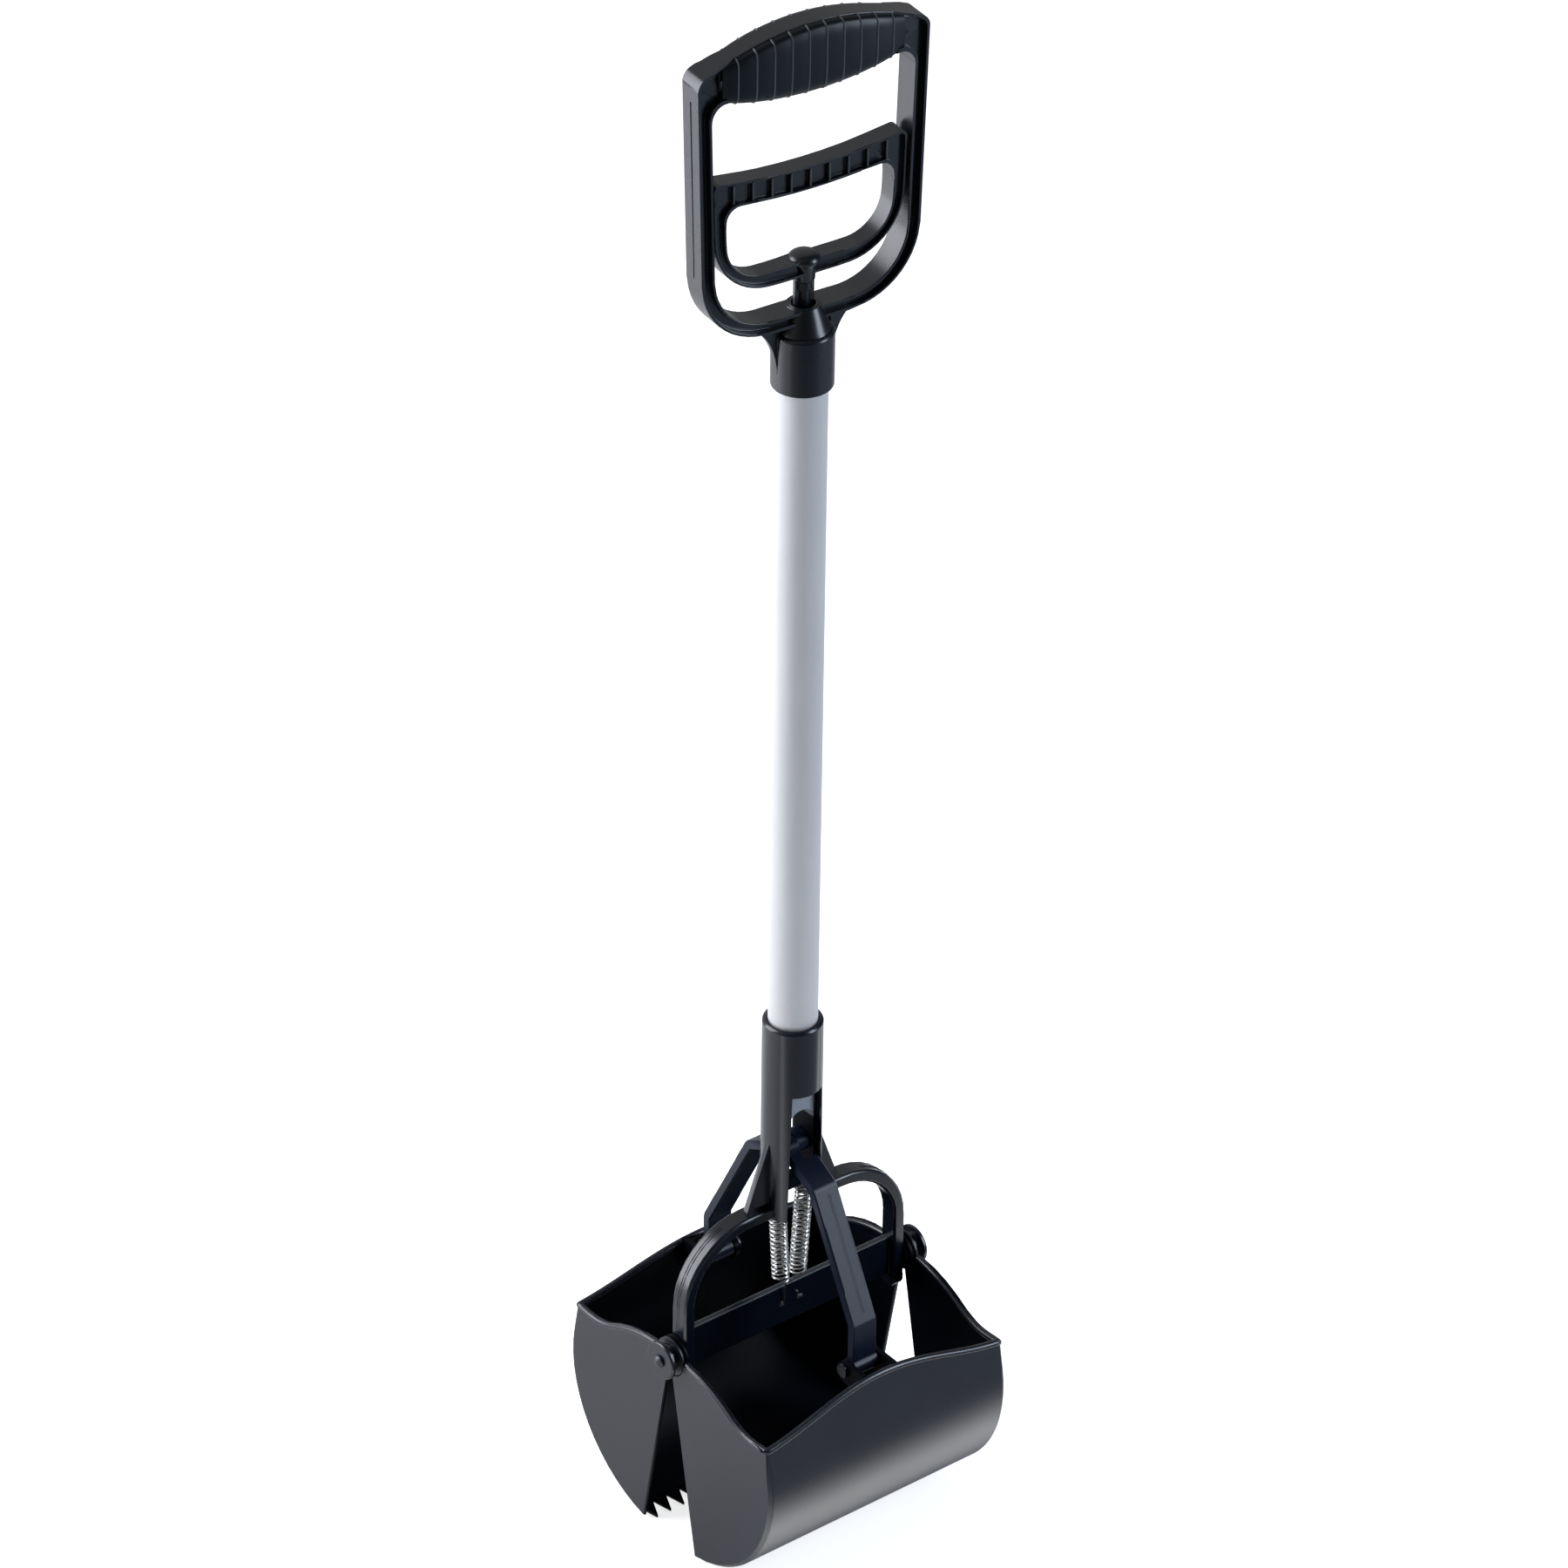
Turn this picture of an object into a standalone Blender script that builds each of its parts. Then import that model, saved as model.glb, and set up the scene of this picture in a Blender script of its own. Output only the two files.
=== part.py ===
"""Pooper scooper: two toothed jaws on a long tube, opened by a pull grip in a D handle.

Metres, +Z up. The jaws stand on z = 0 with their hinge axis along X. The near jaw is on the
-Y side and the far jaw on the +Y side. The part is shown with the jaws a little open.
"""
import math

import bmesh
import bpy
from mathutils import Matrix, Vector

OBJECT_NAME = "pooper_scooper"

# General sizes
GAP = 0.0003             # seat clearance between two pieces
OVERRUN = 0.002          # how far a cutter passes the face that it opens
ROUND_STEPS = 24         # sides of a round piece
PIN_STEPS = 12           # sides of a pin
TURNED_STEPS = 32        # sides of the tube and the barrel
CROSSHEAD_STEPS = 28
DOME_STEPS = 4           # facets up a screw's or a rivet's head
CROWN_POINTS = 11        # along the frame's crowned top
EDGE_POINTS = 9          # along the other curved edges of the handle
CORNER_STEP = math.radians(15.0)     # of the facets round an outline's corner
HANDLE_TWIST = math.radians(-6.0)    # how far the handle is turned on the tube
JAW_OPEN = math.radians(10.6)        # each jaw's opening as shown
CORNER_LIMIT = 0.98      # share of a side that a rounded corner may take
ROUND_SHARE = 0.9        # share of a half height that rounds a plate's end
EDGE_SPAN = 0.8          # share of a half width over which a curved edge is sampled
CROWN_SPAN = 0.86        # the same on the frame's top

# Tube and rod
TUBE_RADIUS = 0.011
TUBE_WALL = 0.001
TUBE_LENGTH = 0.371
ROD_RADIUS = 0.003

# Jaws, with the hinge axis as origin and the mouth closed
JAW_HALF_LENGTH = 0.0665
JAW_WALL = 0.002
JAW_RADIUS = 0.065       # outside of the curved wall
JAW_DROP = 0.038         # from the hinge axis down to the curve's centre
JAW_CORNER_DROP = 0.0244     # from the hinge axis down to the top corners
JAW_CROWN = 0.012        # how far the back wall's edge rises in its middle
JAW_EDGE = 0.0017        # rounding of the outer edges
JAW_STEPS = 14           # facets of the curved wall, and of the back wall's edge
CROWN_FLATNESS = 0.8     # exponent of the back wall's crowned edge
# The side wall's S-shaped edge, as shares of the way out to the corner and down to it
SIDE_EDGE_SHARES = ((0.0, 0.0), (0.1, 0.08), (0.22, 0.17), (0.35, 0.31), (0.48, 0.5), (0.6, 0.72),
                    (0.72, 0.88), (0.85, 0.97), (1.0, 1.0))
MOUTH_GAP = 0.0004       # between the two closed jaws
RIM_RADIUS = 0.0015
TOOTH_PITCH = 0.0074
TOOTH_REACH = 0.0042     # from the mouth plane out to a tip
TOOTH_ROOT = 0.0051      # from the mouth plane back to a valley
TOOTH_THICK = 0.0018
TOOTH_ROOT_OVERLAP = 0.0012

# Hinge
EAR_RADIUS = 0.0092
EAR_THICK = 0.002
# Corners of the inner ear's tongue in ear radiuses: out, up and the corner's rounding
TONGUE_SHARES = ((0.0, -0.95, 0.0), (2.0, -2.4, 0.3), (2.6, -1.25, 0.3), (0.9, -0.1, 0.0))
JOURNAL_RADIUS = 0.006
FLANGE_STANDOFF = 0.0035     # from the outer ear to the bush's flange
FLANGE_THICK = 0.002
HINGE_PIN_RADIUS = 0.0015
HINGE_PIN_DEPTH = 0.0052     # how far it goes into the arch's leg
HINGE_HEAD_RADIUS = 0.0031
HINGE_HEAD_HEIGHT = 0.0017

# Yoke housing, heights above the hinge axis
ARCH_DEPTH = 0.0095
ARCH_THICK = 0.006
ARCH_RADIUS = 0.036
ARCH_CENTRE_HEIGHT = 0.0234
ARCH_EDGE = 0.0009
ARCH_STEPS = 10
LEG_FOOT_DROP = 0.0117       # to the centre of the leg's round end
CROSSBAR_HEIGHT = 0.0202
CROSSBAR_RISE = 0.0011       # of its middle above the hinge axis
CROSSBAR_THICK = 0.0028
HOUSING_RADIUS = 0.0135
PRONG_FOOT_HEIGHT = 0.0524
SLOT_TOP_DROP = 0.004        # from the tube's seat down to the slot's top
SLOT_HALF_TOP = 0.0082
SLOT_HALF_FOOT = 0.0094
TUBE_SEAT_HEIGHT = 0.1234
SOCKET_DEPTH = 0.0304        # how much of the tube's lower end is held
FIN_TOP_HEIGHT = 0.0921
FIN_REACH = 0.0115           # from the barrel's side out along the arch
FIN_THICK = 0.0036
RIM_ROUND = 0.0012

# Crosshead and its pins, heights above the hinge axis
CROSSHEAD_RADIUS = 0.0096
CROSSHEAD_HALF_DEPTH = 0.0068    # to the flats on its front and back
CROSSHEAD_FOOT_HEIGHT = 0.0634
CROSSHEAD_TOP_HEIGHT = 0.1274
CLEVIS_HALF = 0.0068
CLEVIS_TOP_HEIGHT = 0.1074
LINK_PIN_HEIGHT = 0.0864
LINK_PIN_RADIUS = 0.002
SPRING_PIN_HEIGHT = 0.0674
SPRING_PIN_RADIUS = 0.0015
ROD_PIN_RADIUS = 0.00125
ROD_FOOT_HEIGHT = 0.1134
ROD_PIN_RISE = 0.007         # of the lower cross pin above the rod's foot
PIN_INSET = 0.0004           # a pin's end below the surface it crosses

# Links, with (y outward, z) measured from the link pin
LINK_WIDTH = 0.013
LINK_THICK = 0.0046
LINK_EDGE = 0.0006
LINK_SHOULDER = (0.0225, -0.0115)    # outer corner of the dogleg
LINK_KNEE = (0.0515, -0.0675)        # lower corner of the dogleg
LINK_BEND_RADIUS = 0.006
LINK_LAP_GAP = 0.0003        # half of the gap between the two half-lapped ends
LINK_LAP_REACH = 0.0102      # how far the half lap runs out from the pin
LINK_EYE_RADIUS = 0.0046
LINK_EYE_PLAY = 0.0021       # outward play of the pin in the upper eye
LINK_EYE_BACK = 0.0005       # inward play of the pin there
LINK_EYE_RISE = 0.0002       # play of the pin up and down there
LINK_FOOT_RADIUS = 0.0044

# Jaw brackets, with the hinge axis as origin and the jaw as shown
BRACKET_REACH = 0.0514       # sideways from the hinge axis to the bracket pin
BRACKET_DROP = 0.0026
BRACKET_PIN_RADIUS = 0.0022
BRACKET_THICK = 0.0025
BRACKET_EYE_RADIUS = 0.0048
BRACKET_BACK_RISE = 0.001    # of the lugs' roots on the wall above the pin
BRACKET_FOOT_DROP = 0.016    # how far the lugs run down the wall below the pin
BRACKET_HEAD_RADIUS = 0.0034
BRACKET_HEAD_THICK = 0.0014

# Springs
WIRE_RADIUS = 0.0005
COIL_RADIUS = 0.0037         # to the wire's centre
COIL_TURNS = 21
COIL_STEPS = 8               # points a turn
HOOK_STEPS = 6
COIL_PITCH = 0.00193
SPRING_OFFSET = 0.0048       # of each spring from the tube's axis, along X
SPRING_LEAN = 0.0013         # how far the coil's top stands off the hinge plane
HOOK_HEIGHT = 0.0014         # of the hook holes above the hinge axis
HOOK_HOLE_RADIUS = 0.0015
COIL_FOOT_HEIGHT = 0.0149    # above the hinge axis

# D handle, heights above the tube's top end
FRAME_HALF_TOP = 0.0556
FRAME_HALF_FOOT = 0.0522
FRAME_DEPTH = 0.0122
FRAME_FOOT = 0.0105
FRAME_SHOULDER = 0.1335
FRAME_CROWN = 0.0165         # rise of the top's middle above its corners
FRAME_FOOT_RADIUS = 0.033
FRAME_TOP_RADIUS = 0.0065
FRAME_BAR = 0.0066           # width of the side bars
FRAME_SILL = 0.006           # height of the bottom bar
WINDOW_TOP = 0.1206
WINDOW_SAG = 0.0075          # how far the grip's middle hangs below its ends
WINDOW_RADIUS = 0.007
CHANNEL_RIM = 0.0014
CHANNEL_DEPTH = 0.0032
GRIP_END_INSET = 0.0121      # of the grip's ends from the frame's outside
GRIP_DEPTH = 0.0168
GRIP_SIDES = 12              # facets round the grip
GRIP_RIBS = 10
GRIP_RIB_SPAN = 0.85         # share of the grip's length that the ribs take
GRIP_RIB_HALF = 0.0012
GRIP_RIB_RISE = 0.0007
GRIP_TAPER = 0.35            # share of its depth that the grip loses at its ends
GRIP_SQUARENESS = 0.8        # exponent of the grip's section, where 1 is an ellipse
HANDLE_SOCKET_DEPTH = 0.0214
HANDLE_SOCKET_RADIUS = 0.0135
SHOULDER_RISE = 0.0055       # of the socket's top above the tube's end
NECK_FILLET = (0.6, 0.3)     # shares of the shoulder's width and rise that the neck's fillet takes
NECK_RADIUS = 0.0069
NECK_TOP = 0.017
NECK_BORE = 0.0053
GUSSET_REACH = 0.0145        # from the socket out along the frame
GUSSET_DROP = 0.0265
GUSSET_THICK = 0.003
GUSSET_STEPS = 9

# Pull grip, heights above the tube's top end
PULL_TOP_PLAY = 0.0013       # between the pull's top corners and the frame's window
PULL_FOOT_PLAY = 0.0007      # the same at its lower corners
PULL_DEPTH = 0.009
PULL_FOOT = 0.032
PULL_TOP = 0.0833            # of the finger bar's middle
PULL_RISE = 0.0039           # of the bar's ends above its middle
PULL_FOOT_RADIUS = 0.028
PULL_TOP_RADIUS = 0.003
PULL_BAR = 0.011             # height of the finger bar
PULL_SIDE = 0.006            # width of its sides
PULL_SILL = 0.007            # height of its bottom bar
PULL_WINDOW_RADIUS = 0.0065
PULL_WINDOW_FOOT_RADIUS = 0.018
PULL_RIM = 0.0012
PULL_CHANNEL = 0.0022
PULL_RIBS = 9
PULL_RIB_SPAN = 0.79         # share of the bar's length that the ribs take
PULL_RIB_WIDTH = 0.001
PULL_RIB_SINK = 0.0005       # of a rib's edge below the bar's face
BOSS_RADIUS = 0.0047
BOSS_RISE = 0.0016            # above the bottom bar
COLLAR_RADIUS = 0.0037
COLLAR_DROP = 0.008          # below the bottom bar
STEM_RADIUS = 0.0028
STEM_FLANGE_HALF = 0.0047
STEM_FLANGE_THICK = 0.0016
SLEEVE_TOP = -0.004
SLEEVE_LENGTH = 0.036
SLEEVE_RADIUS = 0.0047
ROD_TOP = -0.014
UPPER_PIN_DROP = 0.011       # of the upper cross pin below the rod's top

# Screws
SCREW_HEAD_RADIUS = 0.003
SCREW_HEAD_HEIGHT = 0.0017
SCREW_RADIUS = 0.0013
SCREW_HEIGHT = 0.011         # above the handle socket's foot and the housing's tube seat

# Colours and finishes: name, colour, roughness, metallic
BLACK_PLASTIC = ("black_plastic", (0.010, 0.011, 0.016), 0.32, 0.0)
ALUMINIUM = ("satin_aluminium", (0.62, 0.63, 0.65), 0.38, 1.0)
STEEL = ("bright_steel", (0.66, 0.66, 0.64), 0.25, 1.0)
DARK_STEEL = ("dark_steel", (0.05, 0.05, 0.055), 0.4, 1.0)

# Heights worked out from the sizes above
JAW_BOTTOM = JAW_DROP + JAW_RADIUS
TOOTH_TOP = JAW_BOTTOM - (JAW_WALL - TOOTH_THICK) / 2 - TOOTH_THICK
TOOTH_BOTTOM = TOOTH_TOP + TOOTH_THICK
HINGE_Z = TOOTH_BOTTOM * math.cos(JAW_OPEN) + TOOTH_REACH * math.sin(JAW_OPEN)
TUBE_FOOT_Z = HINGE_Z + TUBE_SEAT_HEIGHT + GAP
TUBE_TOP_Z = TUBE_FOOT_Z + TUBE_LENGTH
LINK_PIN_Z = HINGE_Z + LINK_PIN_HEIGHT
ROD_FOOT_Z = HINGE_Z + ROD_FOOT_HEIGHT
ROD_TOP_Z = TUBE_TOP_Z + ROD_TOP
LEG_OUTER = JAW_HALF_LENGTH - 2 * EAR_THICK - 2 * GAP
LEG_INNER = LEG_OUTER - ARCH_THICK
GUIDE_RADIUS = CROSSHEAD_RADIUS + 2 * GAP
SEAT_RADIUS = TUBE_RADIUS + GAP
BRACKET_HALF = LINK_WIDTH / 2 + 2 * GAP
SLOT_TOP_HEIGHT = TUBE_SEAT_HEIGHT - SLOT_TOP_DROP
GRIP_HALF_LENGTH = FRAME_HALF_TOP - GRIP_END_INSET
WINDOW_FOOT = FRAME_FOOT + FRAME_SILL
WINDOW_HALF_FOOT = FRAME_HALF_FOOT - FRAME_BAR
WINDOW_SLOPE = (FRAME_HALF_TOP - FRAME_HALF_FOOT) / (WINDOW_TOP - WINDOW_FOOT)
PULL_HALF_TOP = WINDOW_HALF_FOOT + WINDOW_SLOPE * (PULL_TOP + PULL_RISE - WINDOW_FOOT) - PULL_TOP_PLAY
PULL_HALF_FOOT = WINDOW_HALF_FOOT + WINDOW_SLOPE * (PULL_FOOT - WINDOW_FOOT) - PULL_FOOT_PLAY


def collection(name):
    new = bpy.data.collections.new(name)
    bpy.context.scene.collection.children.link(new)
    return new


def material(finish):
    name, colour, roughness, metallic = finish
    found = bpy.data.materials.get(name)
    if found:
        return found
    new = bpy.data.materials.new(name)
    new.use_nodes = True
    shader = new.node_tree.nodes["Principled BSDF"]
    shader.inputs["Base Color"].default_value = (*colour, 1.0)
    shader.inputs["Roughness"].default_value = roughness
    shader.inputs["Metallic"].default_value = metallic
    new.diffuse_color = (*colour, 1.0)
    return new


def tool(name, data):
    """A helper object, which a Boolean uses up."""
    obj = bpy.data.objects.new(name, data)
    bpy.data.collections["cutters"].objects.link(obj)
    obj.hide_render = True
    obj.display_type = "WIRE"
    return obj


def from_bmesh(name, bm):
    bmesh.ops.recalc_face_normals(bm, faces=bm.faces)
    mesh = bpy.data.meshes.new(name)
    bm.to_mesh(mesh)
    bm.free()
    return tool(name, mesh)


def evaluated(obj):
    """The object's mesh with its modifiers applied, or the mesh of its curve."""
    bpy.context.view_layer.update()
    graph = bpy.context.evaluated_depsgraph_get()
    return bpy.data.meshes.new_from_object(obj.evaluated_get(graph), depsgraph=graph)


def as_mesh(obj):
    """A curve or a turned profile as a mesh object, with its caps welded on."""
    mesh = evaluated(obj)
    bm = bmesh.new()
    bm.from_mesh(mesh)
    bmesh.ops.remove_doubles(bm, verts=bm.verts, dist=GAP / 100)
    bm.to_mesh(mesh)
    bm.free()
    new = tool(obj.name, mesh)
    new.matrix_world = obj.matrix_world
    bpy.data.objects.remove(obj)
    return new


def point_on_edge(edge, points):
    """The first point that lies within an edge, and its share of the way along."""
    start, end = edge.verts
    run = end.co - start.co
    for point in points:
        share = (point.co - start.co).dot(run) / run.length_squared
        off = (start.co + run * share - point.co).length
        if point not in edge.verts and 0.0 < share < 1.0 and off < GAP / 100:
            return point, share
    return None, 0.0


def close_seams(mesh):
    """Joins an open edge to the open corners that lie on it, where a Boolean left a seam."""
    bm = bmesh.new()
    bm.from_mesh(mesh)
    waiting = [edge for edge in bm.edges if edge.is_boundary]
    while waiting:
        edge = waiting.pop()
        if not edge.is_valid or not edge.is_boundary:
            continue
        corners = {corner for other in bm.edges if other.is_boundary for corner in other.verts}
        point, share = point_on_edge(edge, sorted(corners, key=lambda corner: tuple(corner.co)))
        if point:
            halves = bmesh.utils.edge_split(edge, edge.verts[0], share)
            bmesh.ops.weld_verts(bm, targetmap={halves[1]: point})
            waiting = [other for other in bm.edges if other.is_boundary]
    bmesh.ops.holes_fill(bm, edges=[edge for edge in bm.edges if edge.is_boundary], sides=4)
    bmesh.ops.recalc_face_normals(bm, faces=bm.faces)
    bm.to_mesh(mesh)
    bm.free()


def boolean(target, other, operation):
    step = target.modifiers.new(operation.lower(), "BOOLEAN")
    step.operation = operation
    step.object = other
    step.solver = "EXACT"
    mesh = evaluated(target)
    close_seams(mesh)
    target.modifiers.clear()
    target.data = mesh
    bpy.data.objects.remove(other)


def gather(first, *others):
    """Separate bodies as one object, for a single Boolean."""
    bm = bmesh.new()
    for obj in (first, *others):
        bm.from_mesh(obj.data)
    bm.to_mesh(first.data)
    bm.free()
    for obj in others:
        bpy.data.objects.remove(obj)
    return first


def cut(target, *others):
    for other in others:
        boolean(target, other, "DIFFERENCE")


def join(target, *others):
    for other in others:
        boolean(target, other, "UNION")


def box(name, low, high):
    bm = bmesh.new()
    size = Vector(high) - Vector(low)
    middle = (Vector(high) + Vector(low)) / 2
    place = Matrix.Translation(middle) @ Matrix.Diagonal((*size, 1.0))
    bmesh.ops.create_cube(bm, size=1.0, matrix=place)
    return from_bmesh(name, bm)


def bar(name, radius, start, end, steps=ROUND_STEPS):
    """A round bar between two points."""
    run = Vector(end) - Vector(start)
    turn = run.to_track_quat("Z", "Y").to_matrix().to_4x4()
    bm = bmesh.new()
    turn @= Matrix.Rotation(math.pi / steps, 4, "Z")
    middle = Matrix.Translation((Vector(start) + Vector(end)) / 2)
    bmesh.ops.create_cone(bm, cap_ends=True, segments=steps, radius1=radius, radius2=radius,
                          depth=run.length, matrix=middle @ turn)
    return from_bmesh(name, bm)


def turned(name, profile, steps=ROUND_STEPS):
    """A profile of (radius, z), listed down its outer side, turned round Z."""
    mesh = bpy.data.meshes.new(name)
    points = [(radius, 0.0, z) for radius, z in profile]
    closed = all(radius > 0.0 for radius, z in profile)
    edges = [(i, i + 1) for i in range(len(points) - 1)]
    if closed:
        edges.append((len(points) - 1, 0))
    mesh.from_pydata(points, edges, [])
    obj = tool(name, mesh)
    screw = obj.modifiers.new("turn", "SCREW")
    screw.steps = screw.render_steps = steps
    screw.use_merge_vertices = True
    screw.merge_threshold = GAP / 100
    return as_mesh(obj)


def rounded(corners):
    """Outline points of a polygon whose corners (x, y, radius) are rounded."""
    points = []
    for i, (x, y, radius) in enumerate(corners):
        here = Vector((x, y))
        before = Vector(corners[i - 1][:2]) - here
        after = Vector(corners[(i + 1) % len(corners)][:2]) - here
        if radius <= 0.0:
            points.append((x, y))
            continue
        angle = before.angle(after)
        reach = min(radius / math.tan(angle / 2), before.length * CORNER_LIMIT, after.length * CORNER_LIMIT)
        size = reach * math.tan(angle / 2)
        centre = here + (before.normalized() + after.normalized()).normalized() * size / math.sin(angle / 2)
        start = here + before.normalized() * reach - centre
        sweep = start.angle_signed(here + after.normalized() * reach - centre)
        count = max(2, round(abs(sweep) / CORNER_STEP))
        for k in range(count + 1):
            a = -sweep * k / count
            points.append((centre.x + start.x * math.cos(a) - start.y * math.sin(a),
                           centre.y + start.x * math.sin(a) + start.y * math.cos(a)))
    return points


def plate(name, loops, thickness, axis, middle=0.0, edge=0.0):
    """A flat outline with its holes, of a thickness along an axis, with chamfered edges."""
    curve = bpy.data.curves.new(name, "CURVE")
    curve.dimensions = "2D"
    curve.fill_mode = "BOTH"
    curve.extrude = thickness / 2 - edge
    curve.bevel_depth = edge
    curve.bevel_resolution = 0
    curve.offset = -edge
    for points in loops:
        spline = curve.splines.new("POLY")
        spline.points.add(len(points) - 1)
        for point, (x, y) in zip(spline.points, points):
            point.co = (x, y, 0.0, 1.0)
        spline.use_cyclic_u = True
    obj = tool(name, curve)
    # The outline's own axes become X and Z for a plate across Y, and Y and Z for one across X.
    turns = {"X": Matrix(((0, 0, 1), (1, 0, 0), (0, 1, 0))),
             "Y": Matrix(((1, 0, 0), (0, 0, -1), (0, 1, 0))),
             "Z": Matrix.Identity(3)}
    direction = {"X": (1, 0, 0), "Y": (0, 1, 0), "Z": (0, 0, 1)}[axis]
    obj.matrix_world = Matrix.Translation(Vector(direction) * middle) @ turns[axis].to_4x4()
    new = as_mesh(obj)
    new.data.transform(new.matrix_world)
    new.matrix_world = Matrix.Identity(4)
    return new


def wire(name, points, radius, resolution):
    curve = bpy.data.curves.new(name, "CURVE")
    curve.dimensions = "3D"
    curve.fill_mode = "FULL"
    curve.bevel_depth = radius
    curve.bevel_resolution = resolution
    curve.use_fill_caps = True
    spline = curve.splines.new("POLY")
    spline.points.add(len(points) - 1)
    for point, place in zip(spline.points, points):
        point.co = (*place, 1.0)
    return as_mesh(tool(name, curve))


def finish(obj, name, surface, place=None, smooth=35.0):
    """Names a finished piece, gives it its material and puts it with the parts."""
    obj.name = name
    obj.data.name = name
    obj.data.materials.clear()
    obj.data.materials.append(material(surface))
    obj.data.shade_smooth()
    obj.data.set_sharp_from_angle(angle=math.radians(smooth))
    bpy.data.collections["cutters"].objects.unlink(obj)
    bpy.data.collections[OBJECT_NAME].objects.link(obj)
    obj.hide_render = False
    obj.display_type = "TEXTURED"
    if place is not None:
        obj.parent = place
    return obj


def axis_empty(name, location, turn=(0.0, 0.0, 0.0)):
    empty = bpy.data.objects.new(name, None)
    empty.empty_display_size = JOURNAL_RADIUS
    empty.location = location
    empty.rotation_euler = turn
    bpy.data.collections[OBJECT_NAME].objects.link(empty)
    return empty


def spread(half, count):
    """Places from -half to +half."""
    return [half * (2 * i / (count - 1) - 1) for i in range(count)]


def frame_outline(inset):
    top = FRAME_SHOULDER - inset
    crown = [(x, top + FRAME_CROWN * (1 - (x / FRAME_HALF_TOP) ** 2), 0.0)
             for x in reversed(spread(FRAME_HALF_TOP * CROWN_SPAN, CROWN_POINTS))]
    foot_radius = FRAME_FOOT_RADIUS - inset
    return rounded([(FRAME_HALF_FOOT - inset, FRAME_FOOT + inset, foot_radius),
                    (FRAME_HALF_TOP - inset, top, FRAME_TOP_RADIUS - inset), *crown,
                    (inset - FRAME_HALF_TOP, top, FRAME_TOP_RADIUS - inset),
                    (inset - FRAME_HALF_FOOT, FRAME_FOOT + inset, foot_radius)])


def window_top(x):
    return WINDOW_TOP - WINDOW_SAG * (1 - (x / (FRAME_HALF_TOP - FRAME_BAR)) ** 2)


def window_outline(grow):
    half_top = FRAME_HALF_TOP - FRAME_BAR + grow
    half_foot = WINDOW_HALF_FOOT + grow
    foot = WINDOW_FOOT - grow
    foot_radius = FRAME_FOOT_RADIUS - FRAME_SILL + grow
    edge = [(x, window_top(x) + grow, 0.0) for x in reversed(spread(half_top * EDGE_SPAN, EDGE_POINTS))]
    top = WINDOW_TOP + grow
    top_radius = WINDOW_RADIUS + grow
    return rounded([(half_foot, foot, foot_radius), (half_top, top, top_radius), *edge,
                    (-half_top, top, top_radius), (-half_foot, foot, foot_radius)])


def loft(name, rings):
    """A solid skinned over rings of equally many points."""
    bm = bmesh.new()
    rows = [[bm.verts.new(point) for point in ring] for ring in rings]
    count = len(rows[0])
    for first, second in zip(rows, rows[1:]):
        for i in range(count):
            j = (i + 1) % count
            bm.faces.new((first[i], first[j], second[j], second[i]))
    bm.faces.new(rows[0])
    bm.faces.new(reversed(rows[-1]))
    return from_bmesh(name, bm)


def grip():
    """The bulging top grip, whose ribs are proud rings of the same loft."""
    stations = [(-GRIP_HALF_LENGTH, 0.0)]
    for x in spread(GRIP_HALF_LENGTH * GRIP_RIB_SPAN, GRIP_RIBS):
        stations += [(x - GRIP_RIB_HALF, 0.0), (x, GRIP_RIB_RISE), (x + GRIP_RIB_HALF, 0.0)]
    stations.append((GRIP_HALF_LENGTH, 0.0))
    rings = []
    for x, rise in stations:
        taper = 1 - GRIP_TAPER * (x / GRIP_HALF_LENGTH) ** 4
        low = window_top(x) - GRIP_RIB_RISE
        high = FRAME_SHOULDER + FRAME_CROWN * (1 - (x / FRAME_HALF_TOP) ** 2) - CHANNEL_RIM - GAP
        half = (high - low) / 2
        ring = []
        for k in range(GRIP_SIDES):
            a = 2 * math.pi * k / GRIP_SIDES
            side = math.copysign(abs(math.cos(a)) ** GRIP_SQUARENESS, math.cos(a))
            up = math.copysign(abs(math.sin(a)) ** GRIP_SQUARENESS, math.sin(a))
            ring.append((x, side * (GRIP_DEPTH / 2 * taper + rise), (high + low) / 2 + up * half))
        rings.append(ring)
    return loft("grip", rings)


def socket_body(foot):
    """The handle's tube socket with its shoulder and neck, bored for tube and stem."""
    side = HANDLE_SOCKET_RADIUS
    wide = (side - NECK_RADIUS) * NECK_FILLET[0]
    tall = (NECK_TOP - SHOULDER_RISE) * NECK_FILLET[1]
    fillet = [(NECK_RADIUS + wide * (1 - math.cos(a)), SHOULDER_RISE + tall * (1 - math.sin(a)))
              for a in (0.0, math.pi / 4, math.pi / 2)]
    outer = [(NECK_RADIUS - RIM_ROUND / 2, NECK_TOP), (NECK_RADIUS, NECK_TOP - RIM_ROUND / 2), *fillet,
             (side - RIM_ROUND, SHOULDER_RISE), (side, SHOULDER_RISE - RIM_ROUND), (side, foot)]
    inner = [(SEAT_RADIUS, foot), (SEAT_RADIUS, GAP), (NECK_BORE, GAP), (NECK_BORE, NECK_TOP)]
    return turned("socket", outer + inner)


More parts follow.
